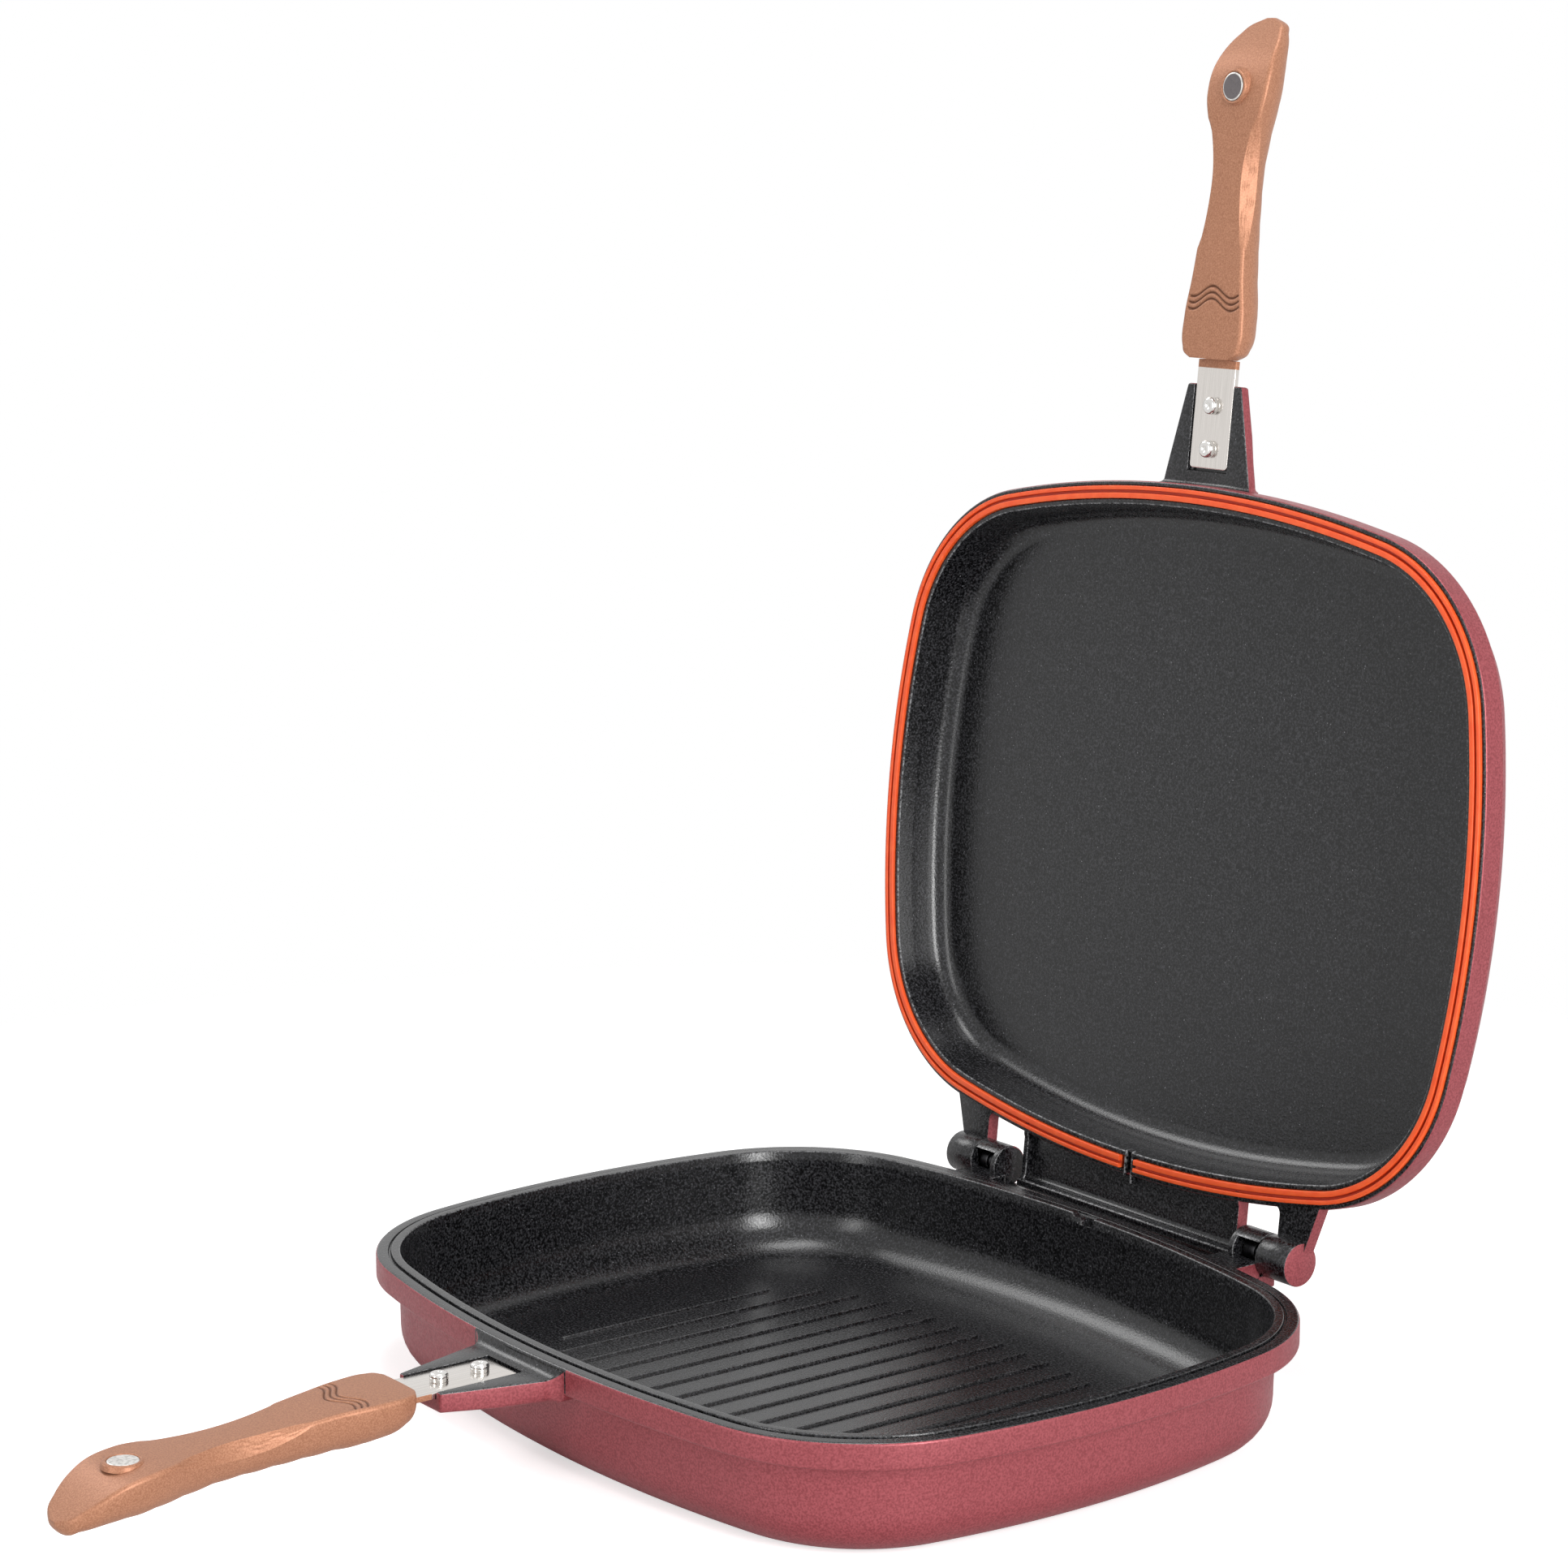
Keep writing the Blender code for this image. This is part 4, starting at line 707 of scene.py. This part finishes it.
# %% Hinge pins
dark_steel, tree, shader, place = finish_named("oil_blackened_steel", Metallic=1.0)
rings = add_node(tree, "Mapping", {"Vector": place, "Scale": (1.0, 0.02, 0.02)})
lathe = grains(tree, rings.outputs[0], 0.7, 2.0)
tone = ramp(tree, lathe, (0.35, "#1E1E20"), (0.7, "#3C3C40"))
whole = blend(tree, wear_and_painted_light_mark(tree), tone, linear("#8A8A8C"))
dress(tree, shader, whole, spread(tree, lathe, (0, 1), (0.28, 0.44)))
pin_profile = [
    (0.05, 85.6), (3.5, 85.6), (3.9, 85.75), (4.2, 86.2), (4.2, 90.9), (4.05, 91.0), (4.05, 91.3),
    (4.2, 91.4), (4.2, 92.5), (4.0, 92.7), (3.4, 92.75), (3.4, 94.3), (3.9, 94.4), (4.15, 94.6),
    (4.2, 94.9), (4.2, 113.3), (0.05, 113.3)]
pin_wear = np.array([0, 0.2, 0.7, 0.3, 0, 0.3, 0, 0, 0.2, 0.6, 0, 0, 0, 0.6, 0.2, 0, 0])[:, None]
for hand, label in ((-1, "left"), (1, "right")):
    grid = turned(pin_profile, (0, HINGE_Y, HINGE_Z), axis=0, steps=64) * (hand, 1, 1)
    piece("pin_" + label, [sheet(grid, wear_and_painted_light=pin_wear)], "lid", "hinge_pin_" + label,
          [dark_steel])

# %% [markdown]
# The handles are moulded phenolic resin, sprayed with a satin copper lacquer. The lacquer is a
# paint with copper coloured flakes: partly metal in its shine, matted so that it mirrors little,
# with a fine even grain. The flakes are too small to show and are drawn 0.7 mm wide. The pressed
# grooves get painted shade: the lacquer is drawn dark brown along them.

# %% Copper lacquer
copper_lacquer, tree, shader, place = finish_named("copper_lacquer", Metallic=0.30,
                                                   Specular_IOR_Level=0.25)
flakes = grains(tree, place, 0.7, 2.0)
tone = ramp(tree, flakes, (0.35, "#9C6A50"), (0.65, "#B58266"))
# Painted shade: where the handles' pressed grooves are marked, the lacquer is blended to dark
# brown.
whole = blend(tree, wear_and_painted_light_mark(tree), tone, linear("#5C3826"))
dress(tree, shader, whole, spread(tree, flakes, (0.3, 0.7), (0.40, 0.50)), flakes, 0.2)
print(copper_lacquer.name, "with flakes of 0.7 mm")

# %% [markdown]
# The tangs are strips of stainless steel, ground along their length and then buffed nearly
# bright. The scratches are a few hundredths of a millimetre wide and are drawn 0.4 mm wide:
# noise that is stretched eighty times along the strip. Beside the upper handle the copper spray
# has also caught the strip.

# %% Steel tangs
steel, tree, shader, place = finish_named("ground_stainless_steel", Metallic=1.0)
drawn = add_node(tree, "Mapping", {"Vector": place, "Scale": (1.0, 0.0125, 0.0125)})
scratches = grains(tree, drawn.outputs[0], 0.4, 3.0)
tone = ramp(tree, scratches, (0.3, "#CDC8C3"), (0.7, "#DDD8D3"))
dress(tree, shader, tone, spread(tree, scratches, (0, 1), (0.12, 0.26)), scratches, 0.02)

HANDLE_ROOT, TANG_HALF, TAIL_HALF, TANG_THICK = 58.2, 12.5, 7.5, 2.5
LOWER_TANG_TOP, UPPER_TANG_TOP = 5.8, 10.6


def tang(side, top, sprayed_from, sprayed_top):
    """Loft along the distance d from the rim. Its end corners are quarter circles of 2 mm, and
    behind the handle's root it narrows to a tail."""
    t = np.linspace(0, math.pi / 2, 6)
    d = np.r_[7.8 + 2 * (1 - np.cos(t)), 20, 34, sprayed_from, HANDLE_ROOT - 0.3, HANDLE_ROOT, 99.9]
    half = np.r_[TANG_HALF - 2 * (1 - np.sin(t)), [TANG_HALF] * 4, TAIL_HALF, TAIL_HALF]
    rows = []
    for w in half:
        low = top + TANG_THICK
        ring, _, spot = rounded(
            [(-w, top, 0.3), (w, top, 0.3), (w, low, 0.3), (-w, low, 0.3)], 3, True)
        rows.append(ring)
    grid = np.stack([np.insert(ring, 1, FRONT - far, axis=1) for ring, far in zip(rows, d)])
    across = between(spot, 4)
    on_top = ((across < 1.3) & (across > 0.7))[None, :]
    sprayed = ((d[:-1] >= sprayed_from)[:, None]) & (sprayed_top | ~on_top)
    return sheet(behind(side, grid), slots=np.where(sprayed, 1, 0))


piece("lower_strip", [tang(LOWER, LOWER_TANG_TOP, 50.0, False)], "lower", "lower_tang",
      [steel, copper_lacquer])
piece("upper_strip", [tang(LID, UPPER_TANG_TOP, 54.2, True)], "lid", "upper_tang",
      [steel, copper_lacquer])

# %% [markdown]
# Two aluminium coloured steel rivets hold each tang. A round forming tool has pressed a small
# dish into each head and left a fine line round its waist. They are polished, so they mirror
# their surroundings: a low roughness with faint handling marks about 3 mm across.

# %% Rivets
rivet_steel, tree, shader, place = finish_named("polished_rivet_steel", Metallic=1.0,
                                                Base_Color=linear("#D9D7D4"))
dress(tree, shader, None, spread(tree, grains(tree, place, 3.0, 2.0), (0, 1), (0.10, 0.26)))
RIVET_HEAD, RIVET_PITCH = 3.7, 20


def rivet(side, shape, top, far):
    """Head, shank and tail as one turned profile. The tail starts under the sloping bracket."""
    share = (far - shape.ramp) / (shape.length - shape.ramp)
    tail = shape.root_bottom + (shape.tip_bottom - shape.root_bottom) * share + 0.2
    crown = top - RIVET_HEAD
    profile = [(0.05, crown + 0.62), (0.9, crown + 0.52), (1.4, crown + 0.2), (1.75, crown + 0.03),
               (2.4, crown), (3.0, crown + 0.1), (3.5, crown + 0.36), (3.85, crown + 0.8),
               (4.0, crown + 1.3), (4.0, crown + 1.8), (3.88, crown + 1.9), (3.88, crown + 2.1),
               (4.0, crown + 2.2), (4.0, top - 0.3), (3.9, top + 0.02), (2.4, top + 0.02),
               (2.4, tail), (3.6, tail), (3.5, tail + 0.6), (3.0, tail + 1.1), (0.05, tail + 1.2)]
    return sheet(behind(side, turned(profile, (0, FRONT - far, 0), steps=56)))


for side, shape, top, label, setback in (
        (LOWER, LOWER_BRACKET, LOWER_TANG_TOP, "lower", 18.8),
        (LID, LID_BRACKET, UPPER_TANG_TOP, "upper", 16.8)):
    for name, far in (("inner", setback), ("outer", setback + RIVET_PITCH)):
        piece(label + "_" + name + "_rivet", [rivet(side, shape, top, far)], side.body,
              label + "_rivet_" + name, [rivet_steel])

# %% [markdown]
# A handle has a flat face, round edges and a full belly. Width, depth and the fall of the face
# are given at fourteen stations along it, with a smooth curve through them. Three things are
# pressed into the mould: wavy grooves near the root, a long lens shaped cut with a wavy line
# along each edge for the thumb, and shallow waves below for the fingers.

# %% Handle surface
LENGTH, HALF_WIDTH, DEPTH, BELLY = 157.0, 19.8, 21.5, 0.90
WAVE_PLACE, WAVE_HEIGHT, WAVE_LENGTH, WAVE_GAP, FINGER_PITCH = 86.0, 2.6, 25, 2.9, 13.5
AT = np.array([0, .012, .035, .12, .235, .345, .45, .555, .66, .77, .87, .95, .985, 1])
WIDTHS = [.68, .86, .95, .98, .85, .77, .72, .70, .79, .98, .93, .69, .44, .14]
DEPTHS = [.56, .70, .82, .94, .92, .87, .84, .84, .90, .96, .85, .54, .35, .14]
FACES = [0, 0, 0, .05, .19, .45, .65, .77, .89, 1, 1, 1, 1, 1]
DROOPS = [0, 0, 0, 0, 0, 0, 0, 0, 0, 0, .21, .66, .90, 1]


def through(s, values):
    """Cubic curve through values at the stations, with slopes taken from their neighbours."""
    v = np.array(values, float)
    m = np.gradient(v, AT)
    k = np.clip(np.searchsorted(AT, s) - 1, 0, len(AT) - 2)
    w = AT[k + 1] - AT[k]
    t = (s - AT[k]) / w
    return ((1 + 2 * t) * (1 - t) ** 2 * v[k] + t * (1 - t) ** 2 * w * m[k]
            + t ** 2 * (3 - 2 * t) * v[k + 1] - t ** 2 * (1 - t) * w * m[k + 1])


def handle(side, root_drop, boss_drop, droop):
    """Rows along the handle, columns round it: face x = u * (half - c), edge from the face to
    the side, belly x = half * cos t to a power and drop = face + edge + depth * sin t to it."""
    s = np.unique(np.r_[(1 - np.cos(np.linspace(0, math.pi, 150))) / 2,
                        np.linspace(0.125, 0.225, 60)])[:, None]
    half, deep = HALF_WIDTH * through(s, WIDTHS), DEPTH * through(s, DEPTHS)
    face = root_drop + (boss_drop - root_drop) * through(s, FACES) + droop * through(s, DROOPS)
    e = np.minimum(1.7, 0.33 * np.minimum(half, deep))
    k = np.sin(math.pi * np.clip((s - 0.32) / 0.38, 0, 1)) ** 0.8
    c, cz = e + 2.6 * k, e + 5.0 * k
    t0 = np.arcsin(np.clip((cz - e) / (deep - e), 0, 1) ** (1 / BELLY))
    u = np.linspace(-1, 1, 45)
    top_x, top_drop = u * (half - c), face - 0.25 * (1 - u ** 2) * np.minimum(1, half / HALF_WIDTH)
    d = HANDLE_ROOT + LENGTH * s
    wave = WAVE_PLACE + WAVE_HEIGHT * np.cos(2 * math.pi * (top_x + 1.5) / WAVE_LENGTH)
    pressed = sum(np.exp(-((d - wave - gap) / 0.56) ** 2) for gap in (-WAVE_GAP, 0, WAVE_GAP))
    pressed = pressed * np.clip((1 - np.abs(u)) / 0.02, 0, 1)
    top_drop = top_drop + 0.8 * pressed
    q = np.linspace(0, 1, 29)[1:-1]
    side_x, side_drop = half * np.cos(t0) ** BELLY, face + cz
    edge_x = (half - c) * (1 - q) + side_x * q
    edge_drop = face * (1 - q) + side_drop * q
    out = np.hypot(side_x - half + c, cz)
    bulge = 4 * q * (1 - q) * (0.293 * e * (1 - k) - 0.15 * k)
    line = 0.5 + 0.2 * np.sin(2 * math.pi * (s - 0.34) / 0.095)
    for gap in (-0.13, 0.13):
        bulge = bulge + 0.28 * np.sqrt(k) * np.exp(-((q - line - gap) / 0.06) ** 2)
    edge_x, edge_drop = edge_x + bulge * cz / out, edge_drop - bulge * (side_x - half + c) / out
    v = (1 - np.cos(np.linspace(0, math.pi, 51))) / 2
    t = t0 + (math.pi - 2 * t0) * v
    belly_x = half * np.sign(np.cos(t)) * np.abs(np.cos(t)) ** BELLY
    fade = np.clip((s - 0.08) / 0.1, 0, 1) * np.clip((0.9 - s) / 0.1, 0, 1)
    fingers = 0.5 * np.abs(np.sin(math.pi * d / FINGER_PITCH)) * fade
    belly_drop = (face + e + (deep - e) * np.abs(np.sin(t)) ** BELLY
                  + (fingers - 0.5) * np.sin(t) ** 3)
    x = np.hstack([top_x, edge_x, belly_x, -edge_x[:, ::-1]])
    drop = np.hstack([top_drop, edge_drop, belly_drop, edge_drop[:, ::-1]])
    # Painted shade in the pressed grooves: their mark darkens the lacquer there.
    painted_groove_shade = np.hstack([pressed, np.zeros((len(s), x.shape[1] - len(u)))])
    grid = np.stack([x, FRONT - d + 0 * x, drop], -1)
    return sheet(behind(side, grid), wear_and_painted_light=np.clip(painted_groove_shade, 0, 1))


def boss(side, drop, rise, y):
    """Ring round the magnet, turned, with a step like a collar and a rounded crown."""
    shape = [(9.2, 1.5), (8.8, 0.2), (8.6, -0.25), (8.5, -0.47), (8.15, -0.52), (8.05, -0.67),
             (7.95, -0.84), (7.75, -0.95), (7.45, -1.0), (7.05, -0.98), (6.75, -0.89),
             (6.65, -0.75), (6.6, 1.0)]
    profile = [(radius, drop + h * (1 if h > 0 else rise)) for radius, h in shape]
    return sheet(behind(side, turned(profile, (0, y, 0), steps=64)), close=True)


Grip = namedtuple("Grip", "side label root boss droop rise magnet_y magnet tarnish")
GRIPS = (Grip(LOWER, "lower", 2.4, 8.6, 16.8, 1.0, FRONT - 184.0, 7.8, 0.0),
         Grip(LID, "upper", 4.4, 6.4, 17.8, 2.0, FRONT - 182.2, 4.3, 1.0))
for grip in GRIPS:
    surfaces = [handle(grip.side, grip.root, grip.boss, grip.droop),
                boss(grip.side, grip.boss, grip.rise, grip.magnet_y)]
    piece(grip.label + "_grip", surfaces, grip.side.body, grip.label + "_handle",
          [copper_lacquer], sharp=50)

# %% [markdown]
# A magnet in each boss keeps the closed pan shut. It is a sintered disc with bright nickel
# plating, clean on its rounded rim and dulled in its middle by faint scratches. The upper one
# has darkened, as thin plating does over the warm side of a pan.

# %% Magnets
nickel, tree, shader, place = finish_named("nickel_plate", Metallic=1.0)
scuffs = grains(tree, place, 1.6, 4.0)
tone = ramp(tree, scuffs, (0.35, "#B4B0AC"), (0.6, "#E2DFDB"))
whole = blend(tree, wear_and_painted_light_mark(tree), tone, linear("#6E696A"))
dress(tree, shader, whole, spread(tree, scuffs, (0.3, 0.7), (0.45, 0.22)), scuffs, 0.3, high=0.2)
for grip in GRIPS:
    top = grip.magnet
    profile = [(0.05, top), (3.0, top), (5.6, top), (5.9, top), (6.25, top + 0.06),
               (6.45, top + 0.25), (6.5, top + 0.5), (6.5, top + 3.0), (0.05, top + 3.0)]
    grid = turned(profile, (0, grip.magnet_y, 0), steps=64)
    middle = grip.tarnish * np.array([1, 1, 1, 0, 0, 0, 0, 0, 0])[:, None]
    piece(grip.label + "_magnet", [sheet(behind(grip.side, grid), wear_and_painted_light=middle)], grip.side.body,
          grip.label + "_handle_magnet", [nickel])

# %% [markdown]
# The camera stands in front of the right corner and looks slightly down, where the photograph
# was taken from. Its place and lens were worked out from the rim, the hinge and the handles.

# %% Camera
camera = bpy.data.cameras.new("camera")
camera.sensor_width, camera.lens, camera.clip_end = 36, 87.404, 20
viewer = bpy.data.objects.new("camera", camera)
bpy.context.scene.collection.objects.link(viewer)
viewer.location = (1.28607, -0.99553, 0.57354)
viewer.rotation_euler = (math.pi / 2 - 0.18055, 0, 0.92329)
bpy.context.scene.camera = viewer

# %% [markdown]
# The photograph was taken in a white studio. Camera rays and mirror rays therefore see a white
# world, while the light that falls on the pan stays at a plain level. The floor is white paper:
# a diffuse surface that keeps the shadow, with some white added for camera rays alone. Between
# 0.4 and 0.85 m from the pan's middle it fades to the pure white of the room, so that no
# horizon shows.

# %% World and floor
WHITE = (1, 1, 1, 1)


def looked_at(tree):
    """1 for rays of the camera, of a mirror or of glass, 0 for those that gather light."""
    path = add_node(tree, "LightPath").outputs
    camera_ray = path["Is Camera Ray"]
    mirror = combine(tree, "MAXIMUM", path["Is Glossy Ray"], path["Is Transmission Ray"])
    return camera_ray, combine(tree, "MAXIMUM", camera_ray, mirror)


world = bpy.data.worlds.new("studio")
bpy.context.scene.world = world
world.use_nodes = True
sky = world.node_tree
sky.nodes.clear()
_, seen = looked_at(sky)
light = add_node(sky, "Background", {"Color": WHITE, "Strength": 0.20})
white = add_node(sky, "Background", {"Color": WHITE, "Strength": 1.0})
mix = add_node(sky, "MixShader", {0: seen, 1: light.outputs[0], 2: white.outputs[0]})
add_node(sky, "OutputWorld", {"Surface": mix.outputs[0]})

FLOOR_HALF, FLOOR_Z = 6, -0.0004
plane = bpy.data.meshes.new("floor")
plane.from_pydata([(x * FLOOR_HALF, y * FLOOR_HALF, FLOOR_Z)
                   for x, y in ((-1, -1), (1, -1), (1, 1), (-1, 1))], [], [(0, 1, 2, 3)])
paper = bpy.data.materials.new("white_paper")
paper.use_nodes = True
tree = paper.node_tree
tree.nodes.clear()
camera_ray, seen = looked_at(tree)
matt = add_node(tree, "BsdfDiffuse", {"Color": (0.88, 0.88, 0.88, 1)})
lift = combine(tree, "MULTIPLY", camera_ray, 0.6)
glow = add_node(tree, "Emission", {"Color": WHITE, "Strength": lift})
both = add_node(tree, "AddShader", {0: matt.outputs[0], 1: glow.outputs[0]})
place = add_node(tree, "TexCoord").outputs["Object"]
away = add_node(tree, "VectorMath", {0: place}, operation="LENGTH").outputs["Value"]
fade = combine(tree, "MULTIPLY", spread(tree, away, (0.40, 0.85), (0, 1)), seen)
white = add_node(tree, "Emission", {"Color": WHITE, "Strength": 1.0})
mix = add_node(tree, "MixShader", {0: fade, 1: both.outputs[0], 2: white.outputs[0]})
add_node(tree, "OutputMaterial", {"Surface": mix.outputs[0]})
plane.materials.append(paper)
ground = bpy.data.objects.new("floor", plane)
bpy.context.scene.collection.objects.link(ground)

# %% [markdown]
# Two tall soft boxes light the pan, a strong one from the right and one from the front. Their
# mirror images are the two bright bands along the hollow of each shell. They stand on the floor,
# because the lid mirrors what lies slightly below it. A box overhead lights the rear corner of
# the lower pan, and a weak one at the left draws the band along its rear wall. Each is given
# by its place and size in metres and its power in watts, and aims at the middle of the pan.

# %% Lamps
AIM = np.array([0, 0.05, 0.15])
for name, place, width, height, power in (
        ("right_box", (2.3, -0.35, 0.85), 0.6, 1.6, 58),
        ("front_box", (0.1, -2.4, 0.85), 0.5, 1.6, 16),
        ("left_box", (-2.0, -0.45, 1.75), 0.9, 0.9, 13),
        ("top_box", (0.0, 0.0, 2.5), 0.8, 1.1, 22)):
    lamp = bpy.data.lights.new(name, "AREA")
    lamp.shape, lamp.size, lamp.size_y, lamp.energy = "RECTANGLE", width, height, power
    holder = bpy.data.objects.new(name, lamp)
    bpy.context.scene.collection.objects.link(holder)
    holder.location = place
    ray = AIM - np.array(place)
    holder.rotation_euler = (math.acos(-ray[2] / np.linalg.norm(ray)), 0,
                             math.atan2(ray[1], ray[0]) - math.pi / 2)

bpy.context.scene.view_settings.view_transform = "Standard"
